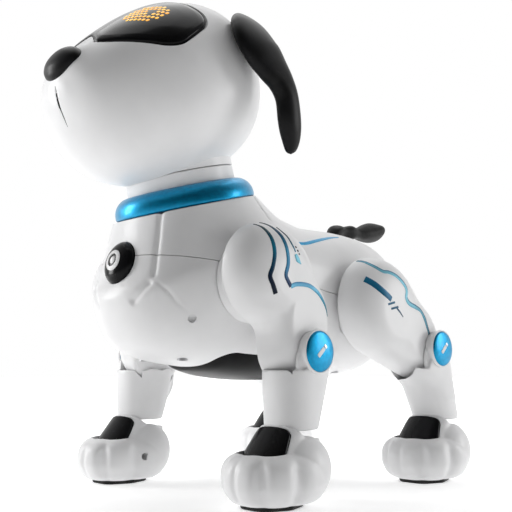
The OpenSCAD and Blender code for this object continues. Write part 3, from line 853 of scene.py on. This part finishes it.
def make_nose():
    loops = []
    for h, half_x, half_y in smooth_line(NOSE_STATIONS, 6):
        ring = oval((0, 0, h), (half_x, 0, 0), (0, half_y, 0), 1.85, 120)
        loops.append(in_head(turned_x(ring, NOSE_TURN) + NOSE_MIDDLE))
    fit(skin("nose_button", loops), "head", "black_satin", "nose")


# Each station is outwards, backwards, up, half-width, half-thickness
EAR_STATIONS = [
    (45, -74.2, 246.1, 0.5, 0.3), (46.6, -74, 244.4, 5, 3), (54, -74.1, 235.8, 11.5, 5.2),
    (60, -73, 225, 14.3, 5.6), (62.9, -67.4, 215.9, 12, 5.2), (64.4, -61.8, 208.7, 8.6, 4.9),
    (65, -57.9, 200.8, 7, 4.8), (64.7, -55.7, 189.5, 7, 4.6), (63.2, -53.1, 181.3, 5.6, 4),
    (62.2, -52.2, 175, 3.2, 2.4), (61.9, -51.8, 173.2, 0.4, 0.3),
]


def make_ear(side, word):
    line = smooth_line(EAR_STATIONS, 14)
    spine = line[:, :3]
    run = np.gradient(spine, axis=0)
    across = np.cross(run, (0, 1, 0))
    across /= np.linalg.norm(across, axis=1)[:, None]
    along = np.cross(across, run)
    along /= np.linalg.norm(along, axis=1)[:, None]
    rings = [oval(spine[k], along[k] * line[k, 3], across[k] * line[k, 4], 2.2, 120) * (side, 1, 1)
             for k in range(len(line))]
    name = f"ear_{word}"
    fit(skin(f"{name}_flap", rings), f"{word}_ear", "black_satin", name)
    fit(ear_rod(f"{name}_pin", side, 37, 50, 3), f"{word}_ear", "black_satin")


# ---- Legs ----

# How softly the hip disc melts into the thigh, and the shape of the outer face's rounding
MELT = 7
HIP_DOME = 19
KNEE_DOME = 12
DOME_POWER = 2.1
HIP_CREASE = [(64, -93, 108), (67.2, -90.7, 104.6), (68.8, -87.7, 99.2), (69.5, -84.5, 95.6),
              (71.3, -73.7, 94.8), (71.3, -64, 97)]
# The inner plate's side faces: how far out, and how much of the leg's edge they reach
PLATE_STEPS = [(PLATE_OUT_X, 0.4), (PLATE_OUT_X, 0.998), (PLATE_OUT_X - 0.3, 0.998), (LEG_IN_X + 1.2, 0.985),
               (LEG_IN_X + 0.4, 0.96), (LEG_IN_X, 0.93), (LEG_IN_X, 0.4)]
# The rear calf: height, shift forwards, half-length
CALF_STATIONS = [(46, 0, 12.4), (54.7, 1.5, 15.3), (59.9, 4.3, 18.6), (64.6, 6, 20.8), (72, 6.5, 21.2)]
KNEE_TURN = 20


def side_ring(x, middle, radius, count):
    """A circle in the side view."""
    return oval((x, *middle), (0, radius, 0), (0, 0, radius), count=count)


def leg_circles(leg):
    return [(leg["hip"], POD_R), (leg["thigh"], THIGH_R), (leg["knee"], KNEE_R)]


def melted_reach(leg, middle, way):
    """How far the front leg's side view goes from the middle: a hip disc melted into a thigh."""
    thigh, knee = np.array(leg["thigh"], float), np.array(leg["knee"], float)
    low, high = np.full(len(way), 5.0), np.full(len(way), 70.0)
    for _ in range(40):
        reach = (low + high) / 2
        p = middle + way * reach[:, None]
        disc = np.linalg.norm(p - leg["disc"], axis=1) - leg["disc_r"]
        run = knee - thigh
        t = np.clip((p - thigh) @ run / (run @ run), 0, 1)
        limb = np.linalg.norm(p - thigh - t[:, None] * run, axis=1) - (THIGH_R + (KNEE_R - THIGH_R) * t)
        blend = np.clip(0.5 + (limb - disc) / (2 * MELT), 0, 1)
        away = limb + (disc - limb) * blend - MELT * blend * (1 - blend)
        low, high = np.where(away < 0, reach, low), np.where(away < 0, high, reach)
    return low


def wrapped_reach(leg, middle, way):
    """The same for the rear leg, whose side view is one smooth wrapping of its three circles."""
    turn = np.linspace(0, 2 * math.pi, 720, endpoint=False)
    out = np.stack([np.cos(turn), np.sin(turn)], axis=1)
    limit = np.stack([out @ (np.array(c) - middle) + r for c, r in leg_circles(leg)]).max(axis=0)
    facing = way @ out.T
    return np.where(facing > 0.05, limit / np.maximum(facing, 0.05), 1e3).min(axis=1)


def leg_edge(leg, count):
    """The upper leg's middle in the side view, directions from it, and how far the edge is each way."""
    middle = 0.45 * np.array(leg["hip"]) + 0.55 * np.array(leg["thigh"])
    turn = np.linspace(0, 2 * math.pi, count, endpoint=False)
    way = np.stack([np.cos(turn), np.sin(turn)], axis=1)
    reach = melted_reach(leg, middle, way) if leg is FRONT else wrapped_reach(leg, middle, way)
    return middle, way, reach


def softened(reach, spread):
    """The edge distances with their neighbours blended in, spread in degrees."""
    step = 360 / len(reach)
    offset = np.arange(len(reach))
    gap = np.minimum(offset, len(reach) - offset) * step
    weight = np.exp(-(gap / spread) ** 2)
    return np.real(np.fft.ifft(np.fft.fft(reach) * np.fft.fft(weight / weight.sum())))


def upper_leg_rings(leg, shares, height, count=320):
    """Rings from the edge inwards, at height(depth, z, way). Inner rings forget the corners of the edge."""
    middle, way, reach = leg_edge(leg, count)
    soft = softened(reach, 26)
    rings = []
    for share in shares:
        forget = float(np.clip((1 - share) * 2.2, 0, 1))
        p = middle + way * (share * (reach + (soft - reach) * forget))[:, None]
        x = height((1 - share) * soft * 0.93, p[:, 1], way)
        rings.append(np.stack([np.broadcast_to(x, count), p[:, 0], p[:, 1]], axis=1))
    return rings


def dome(leg):
    """The outer face's height: steep at the edge, then almost flat. Its back and lower end are boxier."""
    base = PLATE_OUT_X + 0.02

    def height(depth, z, way):
        width = np.interp(z, [leg["knee"][1] - 8, leg["knee"][1] + 26], [KNEE_DOME, HIP_DOME])
        width = width * (1 - leg["boxy_back"] * (0.5 + 0.5 * way[:, 0]) ** 2)
        share = np.clip(depth / width, 0, 1)
        return base + (LEG_OUT_X - base) * (1 - (1 - share) ** DOME_POWER) ** (1 / DOME_POWER)

    return height


def make_upper_leg(name, leg, side):
    flip = (side, 1, 1)
    inwards = 1 - np.concatenate([0.5 * np.linspace(0, 1, 46) ** 2.2, np.linspace(0.52, 0.98, 16)])
    rings = upper_leg_rings(leg, [0.3, 0.99], lambda depth, z, way: PLATE_OUT_X + 0.02)
    rings += upper_leg_rings(leg, inwards, dome(leg))
    shell = skin(f"{name}_upper_leg_moulding", np.array(rings) * flip)
    if leg is FRONT:
        press_groove(shell, smooth_line(HIP_CREASE, 6), 3.6, 0.8, fade=0.35)
    fit(shell, f"{name}_upper_leg", "white_plastic", f"{name}_upper_leg_shell")
    plate = []
    for x, share in PLATE_STEPS:
        plate += upper_leg_rings(leg, [share], lambda depth, z, way, x=x: x)
    inner = skin(f"{name}_plate_flat", np.array(plate) * flip)
    disc = [side_ring(x, leg["hip"], r, 160) for x, r in
            ((POD_FLOOR_X, 19), (POD_FLOOR_X, 20.8), (POD_FLOOR_X + 0.6, 21.4), (LEG_IN_X + 0.5, 21.4))]
    hub = skin(f"{name}_plate_disc", np.array(disc) * flip)
    plate = merge(f"{name}_upper_leg_inner", [inner, hub])
    fit(plate, f"{name}_upper_leg", "white_plastic", f"{name}_upper_leg_plate")
    return surface_of(shell)


def lower_leg_column(leg):
    knee, ankle = np.array(leg["knee"]), np.array(leg["ankle"])
    rings = []
    for height in np.linspace(ankle[1] - 1, knee[1] - 2, 52):
        t = (height - ankle[1]) / (knee[1] - 3 - ankle[1])
        up = max(t, 0)
        centre = ankle[0] - 0.8 * (1 - up) + (knee[0] - ankle[0]) * t
        half_x = 12.9 + 1.5 * up
        half_y = 12.9 + 4.8 * math.sin(math.radians(78 * up))
        rings.append(oval((LEG_X, centre, height), (half_x, 0, 0), (0, half_y, 0), 2.2 + 0.35 * up, 96))
    return skin("column", rings)


def calf_shape(leg):
    """The rear calf swells forwards below the knee."""
    knee, ankle = leg["knee"], leg["ankle"]
    rings = []
    for height, shift, half in smooth_line(CALF_STATIONS, 5):
        centre = ankle[0] + (knee[0] - ankle[0]) * (height - ankle[1]) / (knee[1] - ankle[1])
        rings.append(oval((LEG_X, centre - shift, height), (13.9, 0, 0), (0, half, 0), 2.4, 72))
    return skin("calf", rings)


def above_seam(leg):
    """Everything over the line where the lower leg's outer wall ends, as a prism across the leg."""
    y, z = leg["knee"]
    line = [(y + along, z + up) for along, up in leg["seam"]]
    front, back = (line[0][0] - 40, line[0][1]), (line[-1][0] + 40, line[-1][1])
    return prism("above", [(y - 60, z + 40), front, *line, back, (y + 60, z + 40)], 0, 90)


def knee_sweep(leg):
    """The room that the upper leg needs as the knee turns, with a little clearance."""
    def roomy_dome(depth, z, way):
        return dome(leg)(depth + 0.4, z, way) + 0.4

    middle = (0, *leg["knee"])
    inwards = np.linspace(1, 0.45, 22) ** 1.3
    roomy = upper_leg_rings(leg, [0.3, 1.015], lambda depth, z, way: LEG_IN_X - 0.5, 160)
    roomy += upper_leg_rings(leg, 1.015 * inwards, roomy_dome, 160)
    return [skin("sweep", turned_x(np.array(roomy) - middle, turn) + middle)
            for turn in np.radians(np.linspace(-KNEE_TURN, KNEE_TURN, 5))]


def make_lower_leg(name, leg, side):
    y, z = leg["knee"]
    parts = [lower_leg_column(leg), fin_shape(leg)]
    if leg is REAR:
        parts.append(calf_shape(leg))
    shin = melt(merge("shin", parts), 0.6, 6)
    carve(shin, [above_seam(leg)])
    boss = [side_ring(x, leg["knee"], r, 96) for x, r in
            ((LEG_X + 2, BOSS_FACE_R), (BOSS_OUT_X - 0.6, BOSS_FACE_R), (BOSS_OUT_X, BOSS_FACE_R - 0.5))]
    skirt = hull_outline([((y, z), 8.6), ((y - 0.5, z - 6), 11.6)], 0, 96)
    skirt = prism("skirt", skirt, LEG_X + 2, LEG_OUT_X + 1.9)
    shin = melt(merge("shin", [shin, skin("boss", boss), skirt]), 0.55, 5)
    cup = rod("cup", (LEG_IN_X - 0.5, y, z), (LEG_OUT_X + 0.4, y, z), CUP_R, 200)
    carve(shin, [cup, *knee_sweep(leg)])
    carve(shin, [rod("inside", (0, y, z), (LEG_IN_X, y, z), 9, 96)])
    mirror_x(shin, side)
    shin.name = f"{name}_shin_moulding"
    fit(shin, f"{name}_lower_leg", "white_plastic", f"{name}_lower_leg", angle=38)


def fin_shape(leg):
    """The half-round fin behind the calf, in the leg's mid-plane."""
    y, z = leg["ankle"]
    knee = leg["knee"]
    lean = (knee[0] - y) / (knee[1] - z)
    outline = []
    for t in np.linspace(0, 1, 24):
        height = 45 + 24 * t
        reach = 14.5 + 4.2 * math.sin(math.pi * t ** 0.8) + 2.5 * t
        outline.append((y + lean * (height - z) + reach, height))
    back = [(y + lean * (h - z), h) for _, h in outline[::-1]]
    loop = evenly_closed(np.array(outline + back), 120)
    middle = loop.mean(axis=0)
    rings = []
    for x, shrink in ((LEG_X - 4.4, 0.93), (LEG_X - 3.6, 1), (LEG_X + 1.6, 1), (LEG_X + 2.4, 0.93)):
        rings.append([(x, *(middle + (p - middle) * shrink)) for p in loop])
    return skin("fin", rings)


def mirror_x(obj, side):
    """Mirrors a left piece for the right side."""
    if side < 0:
        set_coords(obj, coords(obj) * (-1, 1, 1))
        obj.data.flip_normals()


# The knee disc's face and the white rim round it, as (radius, height) over the boss
DISC_FACE = [(DISC_R - 0.4, 0), (DISC_R, 0.15), (DISC_R, 0.9), (DISC_R - 0.35, 1.35), (DISC_R - 1.0, 1.6),
             (6, 1.95), (3, 2.1), (0.1, 2.15)]
DISC_RIM = [(DISC_R + 0.05, -0.3), (DISC_R + 0.05, 0.75), (DISC_R + 0.3, 0.95), (DISC_R + 0.7, 0.8),
            (DISC_R + 0.95, 0.3), (DISC_R + 1.0, -0.3), (DISC_R + 0.05, -0.3)]
# The slanted bar and its tip: place along the slant, half-length, finish
DISC_MARKS = {"bar": (-0.6, 3.1, "white_plastic"), "tip": (3.6, 0.75, "steel")}
MARK_SLANT = math.radians(42)


def make_knee_disc(name, leg, side):
    y, z = leg["knee"]
    body = f"{name}_lower_leg"

    def place(points):
        p = np.asarray(points, float)
        return np.stack([side * (BOSS_OUT_X + p[:, 2]), y + p[:, 0], z + p[:, 1]], axis=1)

    disc = skin(f"{name}_disc_face", revolve(place, DISC_FACE, 128))
    fit(disc, body, "metallic_blue", f"{name}_knee_disc")
    fit(open_tube(f"{name}_disc_rim", revolve(place, DISC_RIM, 128)), body, "white_plastic")
    c, s = math.cos(MARK_SLANT), math.sin(MARK_SLANT)
    for part, (shift, half, finish) in DISC_MARKS.items():
        rings = []
        for h, grow in ((1.5, 1), (2.2, 1), (2.32, 0.9), (2.34, 0.5)):
            u, v, up = oval((0, 0, h), (half * grow, 0, 0), (0, 1.15 * grow, 0), 5, 48).T
            u = u + shift
            rings.append(place(np.stack([u * c - v * s, u * s + v * c, up], axis=1)))
        fit(skin(f"{name}_disc_{part}", rings), body, finish)


# Toe cushion: its half-width, its half-length, and each layer's height and growth of the outline
TOE_HALF_X = 21
TOE_HALF_Y = 24.5
CAP_HULL = [((-7.8, 6), 3.8), ((7.8, 6), 3.8), ((-8, -3), 5.4), ((8, -3), 5.4), ((0, -4.8), 5.4)]
SOLE_HULL = [((side * x, y), r) for x, y, r in ((4, -10, 6.5), (6, -2, 7.5), (4, 7, 6.5)) for side in (-1, 1)]
TOE_LAYERS = [(2, -7), (2.6, -4.2), (5, -1.0), (10, 1.5), (15, 1.9), (19, 1.2), (22.2, -0.8), (24.4, -4),
              (25.6, -8), (26, -13)]


def toe_cushion(y):
    """A soft cushion with a deep groove on each side of the middle toes and a faint one between them."""
    a = np.linspace(0, 2 * math.pi, 288, endpoint=False)
    ahead = np.degrees(np.arctan2(np.sin(a), -np.cos(a)))
    u = np.sign(np.sin(a)) * np.abs(np.sin(a)) ** (2 / 2.25)
    v = np.sign(np.cos(a)) * np.abs(np.cos(a)) ** (2 / 2.25)
    rings = []
    for height, grow in smooth_line(TOE_LAYERS, 9):
        fade = np.interp(height, [2, 6, 18, 26], [0.4, 1, 1, 0])
        sink = 3.0 * fade * sum(np.exp(-((ahead - turn) / 8.0) ** 2) for turn in (-80, -32, 32, 80))
        sink += 0.7 * fade * np.exp(-(ahead / 3) ** 2)
        rings.append(np.stack([LEG_X + u * (TOE_HALF_X + grow - sink), y + v * (TOE_HALF_Y + grow - sink),
                               np.full(len(a), height)], axis=1))
    return skin("toes", rings)


def instep(y, lift=0.0):
    """The sloping top between the toes and the ankle, which carries the cap."""
    rings = []
    for t in np.linspace(-0.25, 1.05, 60):
        middle = np.array([LEG_X, y - 5.6 + 11 * t, 18.6 + 14.2 * t])
        thick = np.array([0, -0.79, 0.61]) * (8 + lift)
        rings.append(oval(middle, (15.6 - 1.8 * t + lift, 0, 0), thick, 2.1, 240))
    return skin("instep", rings)


def ball(centre, radii, rings=30, count=60):
    """An ellipsoid, to be melted into its neighbours."""
    a = np.linspace(0.05, math.pi - 0.05, rings)
    centre = np.asarray(centre, float)
    return skin("ball", [oval(centre + (0, 0, radii[2] * math.cos(t)), (radii[0] * math.sin(t), 0, 0),
                              (0, radii[1] * math.sin(t), 0), count=count) for t in a])


def paw_block(leg):
    y = leg["ankle"][0] - PAW_AHEAD
    lumps = [toe_cushion(y), instep(y)]
    lumps += [ball((LEG_X + s * 9.0, y + 9.4, 17.2), (12.6, 16, 16.2)) for s in (-1, 1)]
    lumps.append(rod("ankle", (LEG_X, y + 11, 15), (LEG_X, y + 12.2, 31.5), 13.8))
    paw = melt(merge("paw", lumps), 0.55, 5)
    p = coords(paw)
    p[:, 2] = np.maximum(p[:, 2], SOLE_Z)
    set_coords(paw, p)
    return paw


def cap_prism(leg, grow):
    """A rounded trapezoid that leans back, as wide as the toes at the front and narrower at the shin."""
    y = leg["ankle"][0] - 17.3
    lean = math.radians(52)
    c, s = math.cos(lean), math.sin(lean)
    outline = evenly_closed(hull_outline(CAP_HULL, grow, 400), 96)
    rings = [[(LEG_X + u, y + v * c - h * s, 26.5 + v * s + h * c) for u, v in outline] for h in (0, 40)]
    return skin("cap_prism", rings)


def make_paw(name, leg, side):
    shin_y = leg["ankle"][0] - 0.8
    centre = leg["ankle"][0] - PAW_AHEAD
    paw = paw_block(leg)
    cap = instep(centre, 0.7)
    carve(cap, [cap_prism(leg, -0.1)], "INTERSECT")
    carve(cap, [rod("shin", (LEG_X, shin_y, 0), (LEG_X, shin_y, 70), 13.2, 128), instep(centre, -2)])
    melt(cap, 0.3, 8)
    carve(paw, [cap_prism(leg, 0.25), rod("socket", (LEG_X, shin_y, 15), (LEG_X, shin_y, 70), 12.98, 128)])
    hole = (centre + 0.2, 15.4)
    carve(paw, [rod("hole", (LEG_X - 22.5, *hole), (LEG_X - 12, *hole), 2.1, 48)])
    for obj, part, finish in ((paw, "paw", "white_plastic"), (cap, "paw_cap", "black_gloss")):
        mirror_x(obj, side)
        obj.name = f"{name}_{part}_moulding"
        fit(obj, f"{name}_lower_leg", finish, f"{name}_{part}", angle=40)
    loop = hull_outline(SOLE_HULL, 0, 160)
    rings = []
    for h, grow in ((0, -1.2), (0.3, -0.7), (1.0, -0.4), (SOLE_Z, -0.3)):
        rings.append([(side * (LEG_X + u * (1 + grow / 15)), centre + v * (1 + grow / 20), h) for u, v in loop])
    fit(skin(f"{name}_sole", rings), f"{name}_lower_leg", "black_rubber", f"{name}_paw_pad")


# Stripes on the outer faces, as (x, y, z) near the surface, with widths along the way
FRONT_STRIPES = {
    "stripe_front": ([(57.5, -74.5, 134.6), (62.4, -73.3, 132.3), (66.6, -72.7, 128.3), (69.1, -72.5, 123.8),
                      (70.6, -73.0, 118), (70.7, -74.6, 112), (70.7, -76.3, 107.5), (70.8, -74.6, 103.6),
                      (70.6, -72.5, 99.3)], [0.5, 1.5, 2.0, 2.2, 2.2, 2.3, 2.5, 2.5]),
    "stripe_back": ([(57.5, -70.2, 135.8), (62.5, -68.4, 133.6), (66.7, -66.7, 130.1), (69.0, -65.6, 126.8),
                     (70.9, -64.7, 121), (71.3, -64.4, 114.5), (71.3, -66.0, 109.0), (71.3, -64.9, 106.4),
                     (71.3, -62.6, 103.5)], [0.5, 1.6, 2.2, 2.3, 2.3, 2.4, 2.4, 2.4]),
    "stripe_turn": ([(71.3, -62.6, 103.4), (71.3, -58.7, 104.8), (71.3, -52.4, 105.1), (71.3, -47.6, 104.3),
                     (71.3, -42.2, 101.4), (71.1, -37.7, 96.7), (70.3, -34.5, 90.5)],
                    [2.2, 2.3, 2.2, 2.0, 1.8, 0.8]),
    "stripe_fine": ([(63.9, -64.9, 133), (66.1, -63.8, 131.1), (68.2, -61.8, 128.3), (69.9, -60.5, 124.8),
                     (71.0, -58.8, 120.7)], [0.4, 0.8, 0.9, 0.9, 0.7]),
    "stripe_wedge": ([(71.2, -58.9, 119.6), (71.3, -57.6, 117.2), (71.3, -55.2, 115.0)], [1.8, 3.0, 0.4]),
}
REAR_STRIPES = {
    "stripe_edge": ([(54.4, 10.6, 124.5), (58.9, 11.4, 123.4), (63.3, 12.8, 121.0), (68.1, 16.4, 118.3),
                     (68.9, 20.7, 117.9), (70.0, 26.2, 116.3), (71.0, 31.7, 112.5), (71.3, 34.6, 108.5),
                     (71.3, 34.0, 104.3), (71.3, 36.8, 101.1), (71.3, 43.6, 99.2), (71.0, 48.4, 97.6),
                     (71.3, 52.2, 92.7), (71.3, 54.9, 86.9), (71.3, 56.3, 83.6)],
                    [0.5, 1.8, 2.0, 2.1, 2.2, 2.2, 2.4, 2.2, 2.0, 1.8, 0.8]),
    "stripe_bar": ([(64.5, 4.6, 113.2), (68, 8.2, 110.4), (70.4, 12.8, 106.7), (71.3, 19.5, 102.5)],
                   [3.9, 3.9, 3.8, 3.3]),
    "dash_upper": ([(71.3, 16.5, 99.5), (71.3, 22.7, 101)], [1.2, 1.2]),
    "dash_lower": ([(71.3, 19.3, 97.2), (71.3, 25.9, 98.6)], [1.2, 1.2]),
    "stripe_tail": ([(71.3, 24.5, 97.9), (71.3, 27.5, 95.8), (71.3, 30.3, 93.2)], [1.1, 0.9, 0.5]),
}
RIM_SHIFT = (0, 0.55, 1.0)
# Each stripe's foil carries painted highlights and shade that change with height.
STRIPE_FOILS = {"stripe_front": "foil_dark_painted_sheen", "stripe_back": "foil_mid_painted_sheen", "stripe_fine": "foil_dark_painted_sheen",
                "stripe_edge": "foil_light_painted_sheen", "stripe_turn": "foil_turn_painted_sheen", "stripe_wedge": "foil_light_painted_sheen"}
FRONT_DASHES = [((70.2, -58.1, 123.6), (70.4, -57.5, 122.9)), ((70.7, -57.1, 121.9), (70.8, -56.6, 121.1)),
                ((71.0, -56.3, 120.3), (71.1, -55.9, 119.6))]


def make_stripes(name, leg, side, surface):
    flip = np.array((side, 1, 1))
    body = f"{name}_upper_leg"
    for word, (line, widths) in (FRONT_STRIPES if leg is FRONT else REAR_STRIPES).items():
        band = inlay(f"{name}_{word}", surface, np.array(line) * flip, widths)
        fit(band, body, STRIPE_FOILS.get(word, "foil_bar_painted_sheen"))
    if leg is FRONT:
        dashes = [inlay("dash", surface, np.array(ends) * flip, [0.8, 0.8], count=6) for ends in FRONT_DASHES]
        fit(merge(f"{name}_dashes", dashes), body, "black_gloss")
    else:
        line = (np.array(REAR_STRIPES["stripe_edge"][0]) + RIM_SHIFT) * flip
        rim = inlay(f"{name}_stripe_rim", surface, line, [0.3, 0.8, 0.8, 0.8, 0.3], lift=0.2)
        fit(rim, body, "foil_bar_painted_sheen")


def make_legs():
    for name, leg in (("front", FRONT), ("rear", REAR)):
        for word, side in (("left", 1), ("right", -1)):
            full = f"{name}_{word}"
            surface = make_upper_leg(full, leg, side)
            make_stripes(full, leg, side, surface)
            make_lower_leg(full, leg, side)
            make_knee_disc(full, leg, side)
            make_paw(full, leg, side)


# ---- Pieces whose CAD shape is kept ----

KEPT = {
    "battery_pack": "battery_wrap", "power_switch": "black_satin", "speaker": "black_satin",
    "main_board": "circuit_board", "neck_motor": "motor_can", "case_screws": "steel",
    "led_board": "circuit_board", "neck_shaft": "steel", "hip_motor": "motor_can", "knee_pin": "steel",
}


def paint_kept_nodes(nodes):
    for name, obj in nodes.items():
        for ending, finish in KEPT.items():
            if name.endswith(ending):
                obj.data.materials.clear()
                obj.data.materials.append(MATERIALS[finish])


# ---- Floor, light and camera ----

# Directions from the toy: to the dim front of the studio, and along the floor to the backdrop
FRONT_SIDE = (0.70, -0.70, -0.1)
BACKDROP_SIDE = (-0.70, 0.70, 0)
FLOOR_HALF = 6.0
LIGHT_TARGET = (0, 0, 0.14)
# Soft boxes: place in metres, size and power
SOFT_BOXES = {
    "left_box": ((-1.1, -0.85, 0.45), (0.4, 0.7), 8.5),
    "right_box": ((1.0, 1.15, 0.45), (0.4, 0.7), 5.0),
    "top_box": ((-0.3, 0.3, 1.6), (1.6, 1.6), 9),
}
SENSOR_WIDTH = 36
LENS = 54.86
CAMERA_PLACE = (0.3252, -0.3382 + STANCE_Y * MM, 0.0632)
CAMERA_AZIMUTH = math.radians(45.23)
CAMERA_ELEVATION = math.radians(-8.37)


def make_floor():
    """A wide pale floor that glows more and more towards the backdrop, so that it fades into it."""
    mesh = bpy.data.meshes.new("floor")
    corners = [(x * FLOOR_HALF, y * FLOOR_HALF, 0) for x, y in ((-1, -1), (1, -1), (1, 1), (-1, 1))]
    mesh.from_pydata(corners, [], [(0, 1, 2, 3)])
    floor = bpy.data.objects.new("floor", mesh)
    bpy.context.scene.collection.objects.link(floor)
    paint = material("floor_paint", (0.90, 0.90, 0.90), (0.93, 0.93, 0.93), 0.9, mottle=3, grain=40, bump=0.0)
    tree = paint.node_tree
    share = share_along(tree, "Object", BACKDROP_SIDE, -0.6, 1.2)
    glow = colour_ramp(tree, share, greys([(0, 0), (0.3, 0.38), (0.5, 0.55), (1, 1)]))
    shader = tree.nodes["Principled BSDF"]
    tree.links.new(glow, shader.inputs["Emission Color"])
    shader.inputs["Emission Strength"].default_value = 1.0
    floor.data.materials.append(paint)


def soft_light(name, place, size, power):
    lamp = bpy.data.lights.new(name, "AREA")
    lamp.shape = "RECTANGLE"
    lamp.size, lamp.size_y = size
    lamp.energy = power
    obj = bpy.data.objects.new(name, lamp)
    obj.location = place
    obj.rotation_euler = (Vector(LIGHT_TARGET) - Vector(place)).to_track_quat("-Z", "Y").to_euler()
    bpy.context.scene.collection.objects.link(obj)


def make_light():
    """A bright studio that is dimmer on the side away from the backdrop, with three soft boxes."""
    world = bpy.data.worlds.new("studio")
    world.use_nodes = True
    tree = world.node_tree
    share = share_along(tree, "Generated", FRONT_SIDE, -1, 1)
    glow = colour_ramp(tree, share, greys([(0.12, 1.0), (0.38, 0.6), (0.66, 0.13), (1.0, 0.03)]))
    tree.links.new(glow, tree.nodes["Background"].inputs["Color"])
    bpy.context.scene.world = world
    for name, (place, size, power) in SOFT_BOXES.items():
        soft_light(name, place, size, power)


def make_camera():
    camera = bpy.data.cameras.new("camera")
    camera.sensor_width = SENSOR_WIDTH
    camera.lens = LENS
    obj = bpy.data.objects.new("camera", camera)
    level = math.cos(CAMERA_ELEVATION)
    back = Vector((math.sin(CAMERA_AZIMUTH) * level, -math.cos(CAMERA_AZIMUTH) * level,
                   math.sin(CAMERA_ELEVATION)))
    obj.location = CAMERA_PLACE
    obj.rotation_euler = (-back).to_track_quat("-Z", "Y").to_euler()
    bpy.context.scene.collection.objects.link(obj)
    bpy.context.scene.camera = obj
    bpy.context.scene.view_settings.view_transform = "Standard"


def main():
    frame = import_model()
    MATERIALS.update(make_materials())
    make_camera()
    make_light()
    make_floor()
    paint_kept_nodes(frame["nodes"])
    make_body()
    make_battery_door()
    make_neck()
    make_chest_button()
    make_tail()
    surface = make_head()
    glass = make_visor(surface)
    make_face_lights(glass)
    make_nose()
    make_ear(1, "left")
    make_ear(-1, "right")
    make_legs()


main()
